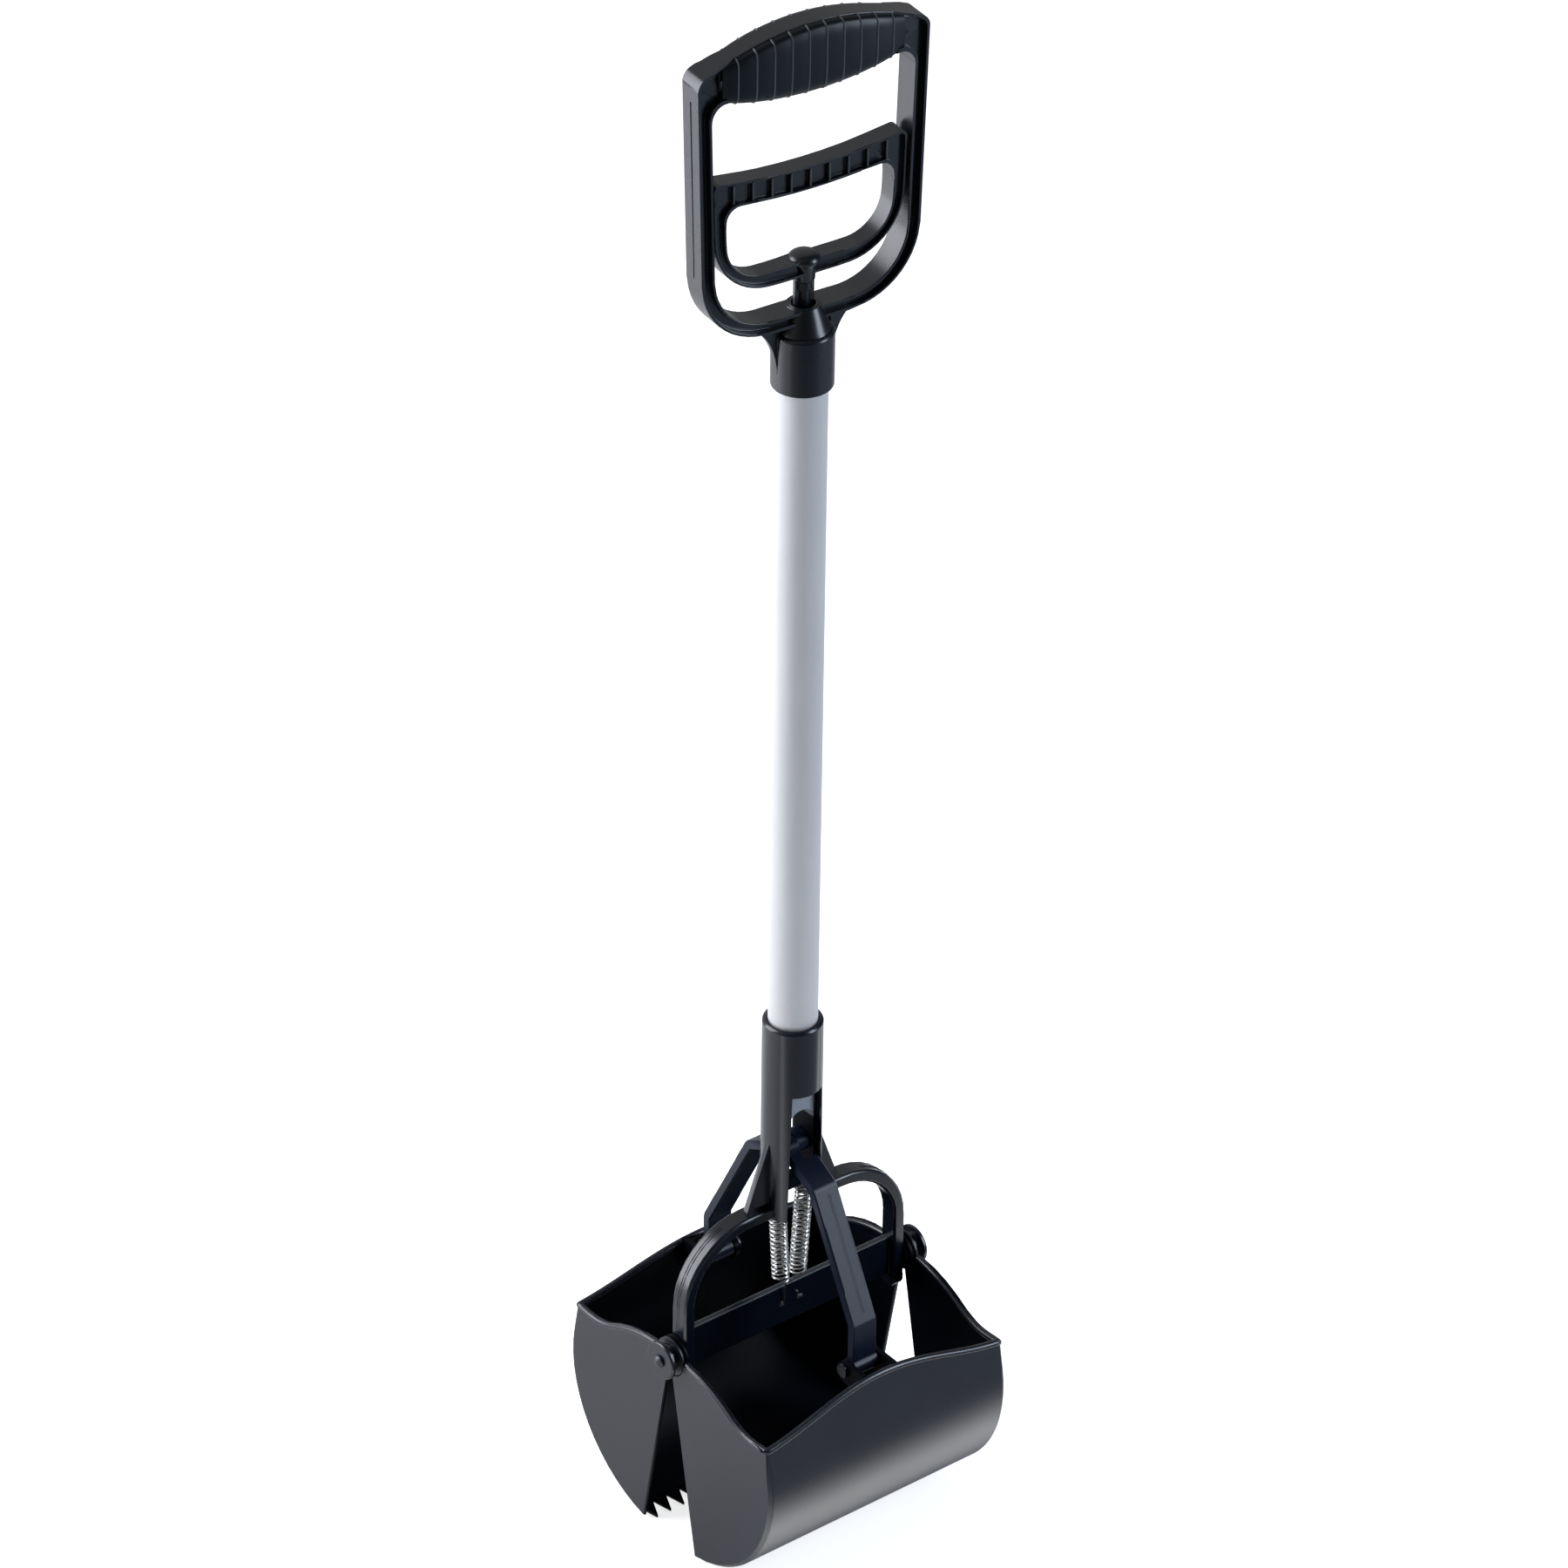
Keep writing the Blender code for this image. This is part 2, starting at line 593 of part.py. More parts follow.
def gusset(side):
    """The concave web from the socket's side out to the frame's bottom bar."""
    top = FRAME_FOOT + FRAME_SILL / 2
    inner = (HANDLE_SOCKET_RADIUS + SEAT_RADIUS) / 2
    quarter = [math.pi / 2 * i / GUSSET_STEPS for i in range(GUSSET_STEPS + 1)]
    bend = [(HANDLE_SOCKET_RADIUS - GAP + GUSSET_REACH * (1 - math.sin(a)),
             FRAME_FOOT + GAP - GUSSET_DROP * (1 - math.cos(a))) for a in quarter]
    points = [(inner, FRAME_FOOT + GAP - GUSSET_DROP), (inner, top), (bend[0][0], top), *bend]
    return plate("gusset", [[(side * x, z) for x, z in points]], GUSSET_THICK, "Y")


def handle_frame(place):
    body = plate("frame", [frame_outline(0.0), window_outline(0.0)], FRAME_DEPTH, "Y")
    channels = [plate("channel", [frame_outline(CHANNEL_RIM), window_outline(CHANNEL_RIM)],
                      CHANNEL_DEPTH + OVERRUN, "Y", side * (FRAME_DEPTH - CHANNEL_DEPTH + OVERRUN) / 2)
                for side in (-1, 1)]
    cut(body, gather(*channels))
    foot = -HANDLE_SOCKET_DEPTH
    join(body, grip(), gather(gusset(-1), gusset(1)))
    clear = (2 * NECK_BORE + NECK_RADIUS) / 3
    cut(body, bar("clear", clear, (0.0, 0.0, foot - OVERRUN), (0.0, 0.0, FRAME_FOOT + FRAME_BAR)))
    join(body, socket_body(foot))
    height = foot + SCREW_HEIGHT
    cut(body, bar("screw_hole", SCREW_RADIUS + GAP, (0.0, 0.0, height),
                  (0.0, HANDLE_SOCKET_RADIUS + OVERRUN, height), PIN_STEPS))
    return finish(body, "handle_frame", BLACK_PLASTIC, place)


def pull_top(x):
    return PULL_TOP + PULL_RISE * (x / PULL_HALF_TOP) ** 2


def pull_outline(inset):
    top = pull_top(PULL_HALF_TOP) - inset
    edge = [(x, pull_top(x) - inset, 0.0) for x in reversed(spread(PULL_HALF_TOP * ROUND_SHARE, EDGE_POINTS))]
    return rounded([(PULL_HALF_FOOT - inset, PULL_FOOT + inset, PULL_FOOT_RADIUS - inset),
                    (PULL_HALF_TOP - inset, top, PULL_TOP_RADIUS - inset), *edge,
                    (inset - PULL_HALF_TOP, top, PULL_TOP_RADIUS - inset),
                    (inset - PULL_HALF_FOOT, PULL_FOOT + inset, PULL_FOOT_RADIUS - inset)])


def pull_window(grow):
    half_top = PULL_HALF_TOP - PULL_SIDE + grow
    half_foot = PULL_HALF_FOOT - PULL_SIDE + grow
    top = pull_top(half_top) - PULL_BAR + grow
    foot = PULL_FOOT + PULL_SILL - grow
    places = reversed(spread(half_top * EDGE_SPAN, EDGE_POINTS))
    edge = [(x, pull_top(x) - PULL_BAR + grow, 0.0) for x in places]
    top_radius = PULL_WINDOW_RADIUS + grow
    foot_radius = PULL_WINDOW_FOOT_RADIUS + grow
    return rounded([(half_foot, foot, foot_radius), (half_top, top, top_radius), *edge,
                    (-half_top, top, top_radius), (-half_foot, foot, foot_radius)])


def pull_ribs():
    """The thin upright ribs in the finger bar's channel, on both faces."""
    bm = bmesh.new()
    reach = PULL_DEPTH / 2 - PULL_RIB_SINK
    for x in spread(PULL_HALF_TOP * PULL_RIB_SPAN, PULL_RIBS):
        high = pull_top(x) - PULL_RIM / 2
        low = pull_top(x) - PULL_BAR + PULL_RIM / 2
        size = Matrix.Diagonal((PULL_RIB_WIDTH, 2 * reach, high - low, 1.0))
        bmesh.ops.create_cube(bm, size=1.0, matrix=Matrix.Translation((x, 0.0, (high + low) / 2)) @ size)
    return from_bmesh("pull_ribs", bm)


def stem():
    """The boss, collar, core and rod sleeve, turned in one piece below the bottom bar."""
    sleeve_foot = SLEEVE_TOP - SLEEVE_LENGTH
    collar_foot = PULL_FOOT - COLLAR_DROP
    boss_top = PULL_FOOT + PULL_SILL + BOSS_RISE
    outer = [(0.0, boss_top), (BOSS_RADIUS - RIM_ROUND / 2, boss_top),
             (BOSS_RADIUS, boss_top - RIM_ROUND / 2), (BOSS_RADIUS, PULL_FOOT - RIM_ROUND),
             (COLLAR_RADIUS, PULL_FOOT - 2 * RIM_ROUND),
             (COLLAR_RADIUS, collar_foot), (STEM_RADIUS, collar_foot), (STEM_RADIUS, SLEEVE_TOP),
             (SLEEVE_RADIUS, SLEEVE_TOP), (SLEEVE_RADIUS, sleeve_foot)]
    bore = [(ROD_RADIUS + GAP, sleeve_foot), (ROD_RADIUS + GAP, ROD_TOP + GAP), (0.0, ROD_TOP + GAP)]
    return turned("stem", outer + bore, PIN_STEPS)


def pull_grip(place):
    body = plate("pull", [pull_outline(0.0), pull_window(0.0)], PULL_DEPTH, "Y")
    channels = [plate("channel", [pull_outline(PULL_RIM), pull_window(PULL_RIM)], PULL_CHANNEL + OVERRUN, "Y",
                      side * (PULL_DEPTH - PULL_CHANNEL + OVERRUN) / 2) for side in (-1, 1)]
    cut(body, gather(*channels))
    flange = box("flange", (-STEM_FLANGE_HALF, -STEM_FLANGE_THICK / 2, SLEEVE_TOP - RIM_ROUND),
                 (STEM_FLANGE_HALF, STEM_FLANGE_THICK / 2, PULL_FOOT + PULL_SILL / 2))
    join(body, pull_ribs(), stem(), flange)
    height = ROD_TOP - UPPER_PIN_DROP
    reach = SLEEVE_RADIUS + OVERRUN
    cut(body, bar("pin_hole", ROD_PIN_RADIUS + GAP, (-reach, 0.0, height), (reach, 0.0, height), PIN_STEPS))
    return finish(body, "pull_grip", BLACK_PLASTIC, place)


def tube():
    inner = TUBE_RADIUS - TUBE_WALL
    body = turned("tube", [(TUBE_RADIUS, TUBE_TOP_Z), (TUBE_RADIUS, TUBE_FOOT_Z), (inner, TUBE_FOOT_Z),
                           (inner, TUBE_TOP_Z)], TURNED_STEPS)
    upper = TUBE_TOP_Z - HANDLE_SOCKET_DEPTH + SCREW_HEIGHT
    for height, turn in ((upper, HANDLE_TWIST), (TUBE_FOOT_Z + SCREW_HEIGHT, 0.0)):
        end = Matrix.Rotation(turn, 3, "Z") @ Vector((0.0, TUBE_RADIUS + OVERRUN, height))
        cut(body, bar("screw_hole", SCREW_RADIUS + GAP, (0.0, 0.0, height), end, PIN_STEPS))
    return finish(body, "tube", ALUMINIUM)


def pull_rod():
    body = bar("rod", ROD_RADIUS, (0.0, 0.0, ROD_FOOT_Z), (0.0, 0.0, ROD_TOP_Z), PIN_STEPS)
    reach = ROD_RADIUS + OVERRUN
    lower = ROD_FOOT_Z + ROD_PIN_RISE
    cut(body, bar("pin_hole", ROD_PIN_RADIUS + GAP, (-reach, 0.0, lower), (reach, 0.0, lower), PIN_STEPS))
    turn = Matrix.Rotation(HANDLE_TWIST, 3, "Z")
    side = turn @ Vector((reach, 0.0, 0.0))
    upper = ROD_TOP_Z - UPPER_PIN_DROP
    cut(body, bar("pin_hole", ROD_PIN_RADIUS + GAP, (-side.x, -side.y, upper), (side.x, side.y, upper),
                  PIN_STEPS))
    return finish(body, "pull_rod", STEEL)


def cross_pin(name, radius, half_length, height, place=None, surface=STEEL):
    body = bar(name, radius, (-half_length, 0.0, height), (half_length, 0.0, height), PIN_STEPS)
    return finish(body, name, surface, place)


def barrel():
    """The housing's turned barrel, with the tube seat above and the crosshead guide below."""
    top = HINGE_Z + TUBE_SEAT_HEIGHT + SOCKET_DEPTH
    seat = HINGE_Z + TUBE_SEAT_HEIGHT
    foot = HINGE_Z + PRONG_FOOT_HEIGHT
    outer = [(SEAT_RADIUS, top - RIM_ROUND / 2), (SEAT_RADIUS + RIM_ROUND / 2, top),
             (HOUSING_RADIUS - RIM_ROUND, top), (HOUSING_RADIUS, top - RIM_ROUND), (HOUSING_RADIUS, foot)]
    return turned("barrel", outer + [(GUIDE_RADIUS, foot), (GUIDE_RADIUS, seat), (SEAT_RADIUS, seat)],
                  TURNED_STEPS)


def arch(side):
    """One arch from the prong over to the leg, with the leg's round end and the fin above."""
    centre_x = LEG_OUTER - ARCH_RADIUS
    centre_z = HINGE_Z + ARCH_CENTRE_HEIGHT
    start = (HOUSING_RADIUS + GUIDE_RADIUS) / 2
    foot = HINGE_Z - LEG_FOOT_DROP
    quarter = [math.pi / 2 * i / ARCH_STEPS for i in range(ARCH_STEPS + 1)]
    over = [(centre_x + ARCH_RADIUS * math.sin(a), centre_z + ARCH_RADIUS * math.cos(a)) for a in quarter]
    inner = ARCH_RADIUS - ARCH_THICK
    under = [(centre_x + inner * math.sin(a), centre_z + inner * math.cos(a)) for a in reversed(quarter)]
    points = [(start, over[0][1]), *over, (LEG_OUTER, foot), (LEG_INNER, foot), *under, (start, under[-1][1])]
    body = plate("arch", [[(side * x, z) for x, z in points]], ARCH_DEPTH, "Y", edge=ARCH_EDGE)
    join(body, bar("leg_end", ARCH_DEPTH / 2, (side * (LEG_INNER + GAP), 0.0, foot),
                   (side * (LEG_OUTER - GAP), 0.0, foot)))
    fin_end = HOUSING_RADIUS + FIN_REACH
    fin_foot = over[0][1] + ARCH_EDGE
    slope = (HINGE_Z + FIN_TOP_HEIGHT - fin_foot) / FIN_REACH
    root = over[0][1] - ARCH_THICK / 2
    fin = [(start, fin_foot + slope * (fin_end - start)), (fin_end, fin_foot), (fin_end, root), (start, root)]
    join(body, plate("fin", [[(side * x, z) for x, z in fin]], FIN_THICK, "Y", edge=ARCH_EDGE / 2))
    return body


def yoke_housing():
    body = barrel()
    top = HINGE_Z + SLOT_TOP_HEIGHT
    foot = HINGE_Z + PRONG_FOOT_HEIGHT - OVERRUN
    slot = [(-SLOT_HALF_FOOT, foot), (SLOT_HALF_FOOT, foot), (SLOT_HALF_TOP, top), (-SLOT_HALF_TOP, top)]
    cut(body, plate("slot", [slot], 2 * (HOUSING_RADIUS + OVERRUN), "Y"))
    low = HINGE_Z + CROSSBAR_RISE - CROSSBAR_HEIGHT / 2
    reach = (LEG_INNER + LEG_OUTER) / 2
    high = low + CROSSBAR_HEIGHT
    half = CROSSBAR_THICK / 2
    crossbar = plate("crossbar", [[(-half, low), (half, low), (half, high), (-half, high)]], 2 * reach, "X",
                     edge=ARCH_EDGE / 2)
    left = arch(-1)
    join(left, crossbar, arch(1))
    join(body, left)
    depth = LEG_OUTER - HINGE_PIN_DEPTH - GAP
    height = TUBE_FOOT_Z + SCREW_HEIGHT
    holes = [bar("screw_hole", SCREW_RADIUS + GAP, (0.0, 0.0, height),
                 (0.0, HOUSING_RADIUS + OVERRUN, height), PIN_STEPS)]
    height = HINGE_Z + HOOK_HEIGHT
    reach = CROSSBAR_THICK / 2 + OVERRUN
    for side in (-1, 1):
        holes.append(bar("pin_hole", HINGE_PIN_RADIUS + GAP, (side * depth, 0.0, HINGE_Z),
                         (side * (LEG_OUTER + OVERRUN), 0.0, HINGE_Z), PIN_STEPS))
        holes.append(bar("hook_hole", HOOK_HOLE_RADIUS, (side * SPRING_OFFSET, -reach, height),
                         (side * SPRING_OFFSET, reach, height), PIN_STEPS))
    cut(body, gather(*holes))
    return finish(body, "yoke_housing", BLACK_PLASTIC)


def crosshead():
    foot = HINGE_Z + CROSSHEAD_FOOT_HEIGHT
    top = HINGE_Z + CROSSHEAD_TOP_HEIGHT
    body = bar("crosshead", CROSSHEAD_RADIUS, (0.0, 0.0, foot), (0.0, 0.0, top), CROSSHEAD_STEPS)
    reach = CROSSHEAD_RADIUS + OVERRUN
    flats = [box("flat", (-reach, side * CROSSHEAD_HALF_DEPTH, foot - OVERRUN),
                 (reach, side * reach, top + OVERRUN)) for side in (-1, 1)]
    cut(body, gather(*flats))
    head = HINGE_Z + CLEVIS_TOP_HEIGHT
    clevis = rounded([(CLEVIS_HALF, foot - OVERRUN, 0.0), (CLEVIS_HALF, head, CLEVIS_HALF * ROUND_SHARE),
                      (-CLEVIS_HALF, head, CLEVIS_HALF * ROUND_SHARE), (-CLEVIS_HALF, foot - OVERRUN, 0.0)])
    cut(body, plate("clevis", [clevis], 2 * reach, "Y"))
    cut(body, bar("rod_hole", ROD_RADIUS + GAP, (0.0, 0.0, ROD_FOOT_Z - GAP), (0.0, 0.0, top + OVERRUN),
                  PIN_STEPS))
    holes = ((LINK_PIN_RADIUS, LINK_PIN_Z), (SPRING_PIN_RADIUS, HINGE_Z + SPRING_PIN_HEIGHT),
             (ROD_PIN_RADIUS, ROD_FOOT_Z + ROD_PIN_RISE))
    cut(body, gather(*[bar("pin_hole", radius + GAP, (-reach, 0.0, height), (reach, 0.0, height), PIN_STEPS)
                       for radius, height in holes]))
    return finish(body, "crosshead", BLACK_PLASTIC)


def side_wall_edge():
    """The S-shaped top edge of a jaw's side wall, from the ear out to the back corner."""
    start = EAR_RADIUS * ROUND_SHARE
    run = JAW_RADIUS - RIM_RADIUS - start
    return [(start + run * across, -JAW_CORNER_DROP * down) for across, down in SIDE_EDGE_SHARES]


def back_wall_edge(x):
    """Height of the back wall's top edge, raised in the middle like a soft crown."""
    share = min(abs(x) / JAW_HALF_LENGTH, 1.0)
    return -JAW_CORNER_DROP + JAW_CROWN * ((1 + math.cos(math.pi * share)) / 2) ** CROWN_FLATNESS


def arc(radius, first, last, count):
    """Points on the jaw's curve, by angle from straight down, as (y, z)."""
    angles = [first + (last - first) * i / count for i in range(count + 1)]
    return [(radius * math.sin(a), -JAW_DROP - radius * math.cos(a)) for a in angles]


def jaw_shell():
    """The scoop: a solid block of its outline, hollowed, with both top edges trimmed."""
    top = -JAW_CORNER_DROP + JAW_CROWN + RIM_RADIUS
    curve = arc(JAW_RADIUS, 0.0, math.pi / 2, JAW_STEPS)
    outline = [(-2 * JAW_EDGE, 0.0), (-2 * JAW_EDGE, -JAW_BOTTOM), *curve, (JAW_RADIUS, top),
               (JAW_RADIUS / 3, 0.0)]
    body = plate("jaw", [outline], 2 * JAW_HALF_LENGTH, "X", edge=JAW_EDGE)
    inside = JAW_RADIUS - JAW_WALL
    lip = math.asin((TOOTH_ROOT + GAP) / inside)
    below = -JAW_BOTTOM - OVERRUN
    hollow = [(-OVERRUN, OVERRUN), (-OVERRUN, below), (TOOTH_ROOT + GAP, below),
              *arc(inside, lip, math.pi / 2, JAW_STEPS), (inside, top + OVERRUN)]
    cut(body, plate("hollow", [hollow], 2 * (JAW_HALF_LENGTH - JAW_WALL), "X"))
    reach = JAW_HALF_LENGTH + OVERRUN
    mouth = box("mouth", (-reach, -2 * OVERRUN, -JAW_BOTTOM - OVERRUN), (reach, MOUTH_GAP / 2, OVERRUN))
    edge = side_wall_edge()
    over = [(inside - GAP, edge[-1][1]), (inside - GAP, OVERRUN), (edge[0][0], OVERRUN)]
    cut(body, mouth, plate("side_trim", [edge[:-1] + over], 2 * reach, "X"))
    back = [(x, back_wall_edge(x)) for x in spread(reach, JAW_STEPS + 1)]
    back += [(reach, top + OVERRUN), (-reach, top + OVERRUN)]
    middle = JAW_RADIUS + (OVERRUN - JAW_WALL) / 2 - GAP
    cut(body, plate("back_trim", [back], JAW_WALL + OVERRUN, "Y", middle))
    return body


def jaw_rim():
    """The rolled bead along the side walls' and the back wall's top edges."""
    across = JAW_HALF_LENGTH - JAW_WALL / 2
    side = side_wall_edge()[1:]
    side[0] = (EAR_RADIUS + 2 * RIM_RADIUS, side[0][1] * (EAR_RADIUS + 2 * RIM_RADIUS) / side[0][0])
    back = JAW_RADIUS - JAW_WALL / 2
    path = [(-across, y, z) for y, z in side[:-1]]
    path += [(x, back, back_wall_edge(x)) for x in spread(across, JAW_STEPS + 1)]
    path += [(across, y, z) for y, z in reversed(side[:-1])]
    return wire("rim", path, RIM_RADIUS, 1)


def jaw_teeth():
    """Saw teeth along the lip. The pattern is off centre by a quarter pitch, so that two jaws mesh."""
    half = JAW_HALF_LENGTH - JAW_WALL + 2 * GAP
    count = int(half / TOOTH_PITCH) + 1
    points = []
    for k in range(-count, count + 1):
        tip = (k * TOOTH_PITCH - TOOTH_PITCH / 4, -TOOTH_REACH)
        valley = (k * TOOTH_PITCH + TOOTH_PITCH / 4, TOOTH_ROOT)
        points += [point for point in (tip, valley) if abs(point[0]) < half - 2 * GAP]
    root = TOOTH_ROOT + TOOTH_ROOT_OVERLAP
    outline = [(-half, root), *points, (half, root)]
    return plate("teeth", [outline], TOOTH_THICK, "Z", -(TOOTH_TOP + TOOTH_BOTTOM) / 2)


def bracket_point():
    """The bracket pin's place on the closed jaw."""
    place = Matrix.Rotation(-JAW_OPEN, 2) @ Vector((BRACKET_REACH, -BRACKET_DROP))
    return place.x, place.y


def jaw_bracket(side):
    """One lug of the clevis on the back wall, with its eye for the link's pin."""
    y, z = bracket_point()
    wall = JAW_RADIUS - JAW_WALL / 2
    eye = BRACKET_EYE_RADIUS
    round_off = eye * ROUND_SHARE
    lug = rounded([(wall, z + BRACKET_BACK_RISE, 0.0), (y - eye, z + eye, round_off),
                   (y - eye, z - eye, round_off), (wall, z - BRACKET_FOOT_DROP, 0.0)])
    body = plate("lug", [lug], BRACKET_THICK, "X", side * (BRACKET_HALF + BRACKET_THICK / 2))
    start = side * (BRACKET_HALF - GAP)
    end = side * (BRACKET_HALF + BRACKET_THICK + GAP)
    cut(body, bar("eye", BRACKET_PIN_RADIUS + GAP, (start, y, z), (end, y, z), PIN_STEPS))
    return body


def jaw_mesh():
    """One scoop, closed, with the hinge axis as origin. Its outer ear is on the -X side."""
    body = jaw_shell()
    join(body, jaw_rim(), jaw_teeth(), gather(jaw_bracket(-1), jaw_bracket(1)))
    outer = JAW_HALF_LENGTH
    reach = outer + OVERRUN
    low = outer - 2 * EAR_THICK - GAP
    tongue = rounded([tuple(EAR_RADIUS * share for share in shares) for shares in TONGUE_SHARES])
    run = EAR_THICK + 3 * GAP
    join(body, plate("tongue", [tongue], run, "X", low + run / 2))
    cut(body, bar("ear_recess", EAR_RADIUS + GAP, (low + EAR_THICK, 0.0, 0.0), (reach, 0.0, 0.0)))
    join(body, bar("inner_ear", EAR_RADIUS, (low + GAP / 2, 0.0, 0.0), (low + EAR_THICK - GAP / 2, 0.0, 0.0)),
         bar("outer_ear", EAR_RADIUS, (GAP / 2 - outer, 0.0, 0.0), (EAR_THICK - GAP / 2 - outer, 0.0, 0.0)))
    cut(body, bar("journal_hole", JOURNAL_RADIUS + GAP, (-reach, 0.0, 0.0), (reach, 0.0, 0.0)))
    return body


def jaws():
    """The same scoop twice, one turned half a turn round Z."""
    far = jaw_mesh()
    near = tool("jaw_copy", far.data.copy())
    far_axis = axis_empty("far_jaw_axis", (0.0, 0.0, HINGE_Z), (JAW_OPEN, 0.0, 0.0))
    near_axis = axis_empty("near_jaw_axis", (0.0, 0.0, HINGE_Z), (JAW_OPEN, 0.0, math.pi))
    finish(far, "far_jaw", BLACK_PLASTIC, far_axis)
    finish(near, "near_jaw", BLACK_PLASTIC, near_axis)
    y, z = bracket_point()
    for name, place in (("far_link_pin", far_axis), ("near_link_pin", near_axis)):
        end = BRACKET_HALF + BRACKET_THICK + GAP
        body = bar(name, BRACKET_PIN_RADIUS, (-end, y, z), (end + BRACKET_HEAD_THICK / 2, y, z), PIN_STEPS)
        join(body, bar("head", BRACKET_HEAD_RADIUS, (end, y, z), (end + BRACKET_HEAD_THICK, y, z), PIN_STEPS))
        finish(body, name, BLACK_PLASTIC, place)


def link_mesh():
    """The far link in (y, z) from the link pin: half-lapped eye, dogleg and foot eye."""
    foot = (BRACKET_REACH, -LINK_PIN_HEIGHT - BRACKET_DROP)
    line = [(0.0, 0.0), LINK_SHOULDER, LINK_KNEE, foot]
    half = LINK_THICK / 2
    sides = []
    for way in (1, -1):
        side = []
        for i, point in enumerate(line):
            here = Vector(point)
            before = (here - Vector(line[i - 1])).normalized() if i else (Vector(line[1]) - here).normalized()
            after = (Vector(line[i + 1]) - here).normalized() if i < len(line) - 1 else before
            middle = (before + after).normalized()
            normal = Vector((-middle.y, middle.x)) * way
            place = here + normal * half / middle.dot(before)
            turns_out = before.angle_signed(after) * way > 0 if 0 < i < len(line) - 1 else False
            radius = LINK_BEND_RADIUS if turns_out else LINK_BEND_RADIUS - LINK_THICK
            side.append((place.x, place.y, max(radius, GAP) if 0 < i < len(line) - 1 else 0.0))
        sides.append(side)
    outline = rounded(list(reversed(sides[0])) + sides[1])
    body = plate("link", [outline], LINK_WIDTH, "X", edge=LINK_EDGE)
    width = LINK_WIDTH / 2
    eye = LINK_EYE_RADIUS
    inner = -eye - LINK_EYE_BACK
    outer = eye + LINK_EYE_PLAY
    round_off = eye * ROUND_SHARE
    block = rounded([(outer, eye, round_off), (inner, eye, round_off), (inner, -eye, round_off),
                     (outer, -eye, round_off)])
    join(body, plate("eye", [block], LINK_WIDTH - GAP, "X"),
         bar("foot_eye", LINK_FOOT_RADIUS, (GAP - width, *foot), (width - GAP, *foot)))
    reach = outer + OVERRUN
    cut(body, box("lap", (-width - OVERRUN, -reach, -reach), (LINK_LAP_GAP, LINK_LAP_REACH, reach)))
    play = LINK_PIN_RADIUS + GAP
    outer = play + LINK_EYE_PLAY
    inner = -play - LINK_EYE_BACK
    rise = play + LINK_EYE_RISE
    round_off = play * ROUND_SHARE
    slot = rounded([(outer, rise, round_off), (inner, rise, round_off), (inner, -rise, round_off),
                    (outer, -rise, round_off)])
    cut(body, plate("slot", [slot], 2 * LINK_WIDTH, "X"),
        bar("foot_hole", BRACKET_PIN_RADIUS + GAP, (-LINK_WIDTH, *foot), (LINK_WIDTH, *foot), PIN_STEPS))
    body.data.transform(Matrix.Translation((0.0, -foot[0], -foot[1])))
    return body


def links():
    """Both links, each with its origin on its lower pivot."""
    rear = link_mesh()
    front = tool("link_copy", rear.data.copy())
    height = HINGE_Z - BRACKET_DROP
    rear_axis = axis_empty("rear_link_axis", (0.0, BRACKET_REACH, height))
    front_axis = axis_empty("front_link_axis", (0.0, -BRACKET_REACH, height), (0.0, 0.0, math.pi))
    finish(rear, "rear_link", BLACK_PLASTIC, rear_axis)
    finish(front, "front_link", BLACK_PLASTIC, front_axis)


def spring_path():
    """The front spring's wire: hook in the crossbar, coil, and hook over the spring pin."""
    x = SPRING_OFFSET
    stand = CROSSBAR_THICK / 2 + WIRE_RADIUS + GAP
    hole = HINGE_Z + HOOK_HEIGHT
    foot = HINGE_Z + COIL_FOOT_HEIGHT
    step = 3 * WIRE_RADIUS / 2
    path = [(x, -stand - step, hole + 3 * step), (x, -stand - step / 2, hole + step),
            (x, -stand + step, hole), (x, stand - step, hole), (x, stand, hole + step),
            (x, stand, hole + 4 * step)]
    for i in range(COIL_STEPS * COIL_TURNS + 1):
        a = math.pi / 2 + 2 * math.pi * i / COIL_STEPS
        share = i / (COIL_STEPS * COIL_TURNS)
        path.append((x + COIL_RADIUS * math.cos(a), COIL_RADIUS * math.sin(a) - SPRING_LEAN * share,
                     foot + COIL_PITCH * i / COIL_STEPS))
    over = SPRING_PIN_RADIUS + WIRE_RADIUS + GAP
    pin = HINGE_Z + SPRING_PIN_HEIGHT
    top = path[-1]
    path.append((x, top[1] - 2 * step, top[2] + 2 * step))
    path.append((x, over, pin - 3 * step))
    half_turn = [math.pi * i / HOOK_STEPS for i in range(HOOK_STEPS + 1)]
    path += [(x, over * math.cos(a), pin + over * math.sin(a)) for a in half_turn]
    path.append((x, -over, pin - 2 * step))
    return path


def least_self_gap(path):
    """The least distance between stretches of the wire that aren't neighbours, less its thickness."""
    apart = math.pi * COIL_RADIUS
    along = [0.0]
    for first, second in zip(path, path[1:]):
        along.append(along[-1] + (Vector(second) - Vector(first)).length)
    least = min((Vector(p) - Vector(q)).length for i, p in enumerate(path) for j, q in enumerate(path)
                if along[j] - along[i] > apart)
    return least - 2 * WIRE_RADIUS


def springs():
    path = spring_path()
    print("least gap of a spring's wire to itself, mm:", round(least_self_gap(path) * 1000, 3))
    front = wire("spring", path, WIRE_RADIUS, 1)
    rear = tool("spring_copy", front.data.copy())
    finish(front, "front_spring", STEEL)
    finish(rear, "rear_spring", STEEL, axis_empty("rear_spring_turn", (0.0, 0.0, 0.0), (0.0, 0.0, math.pi)))


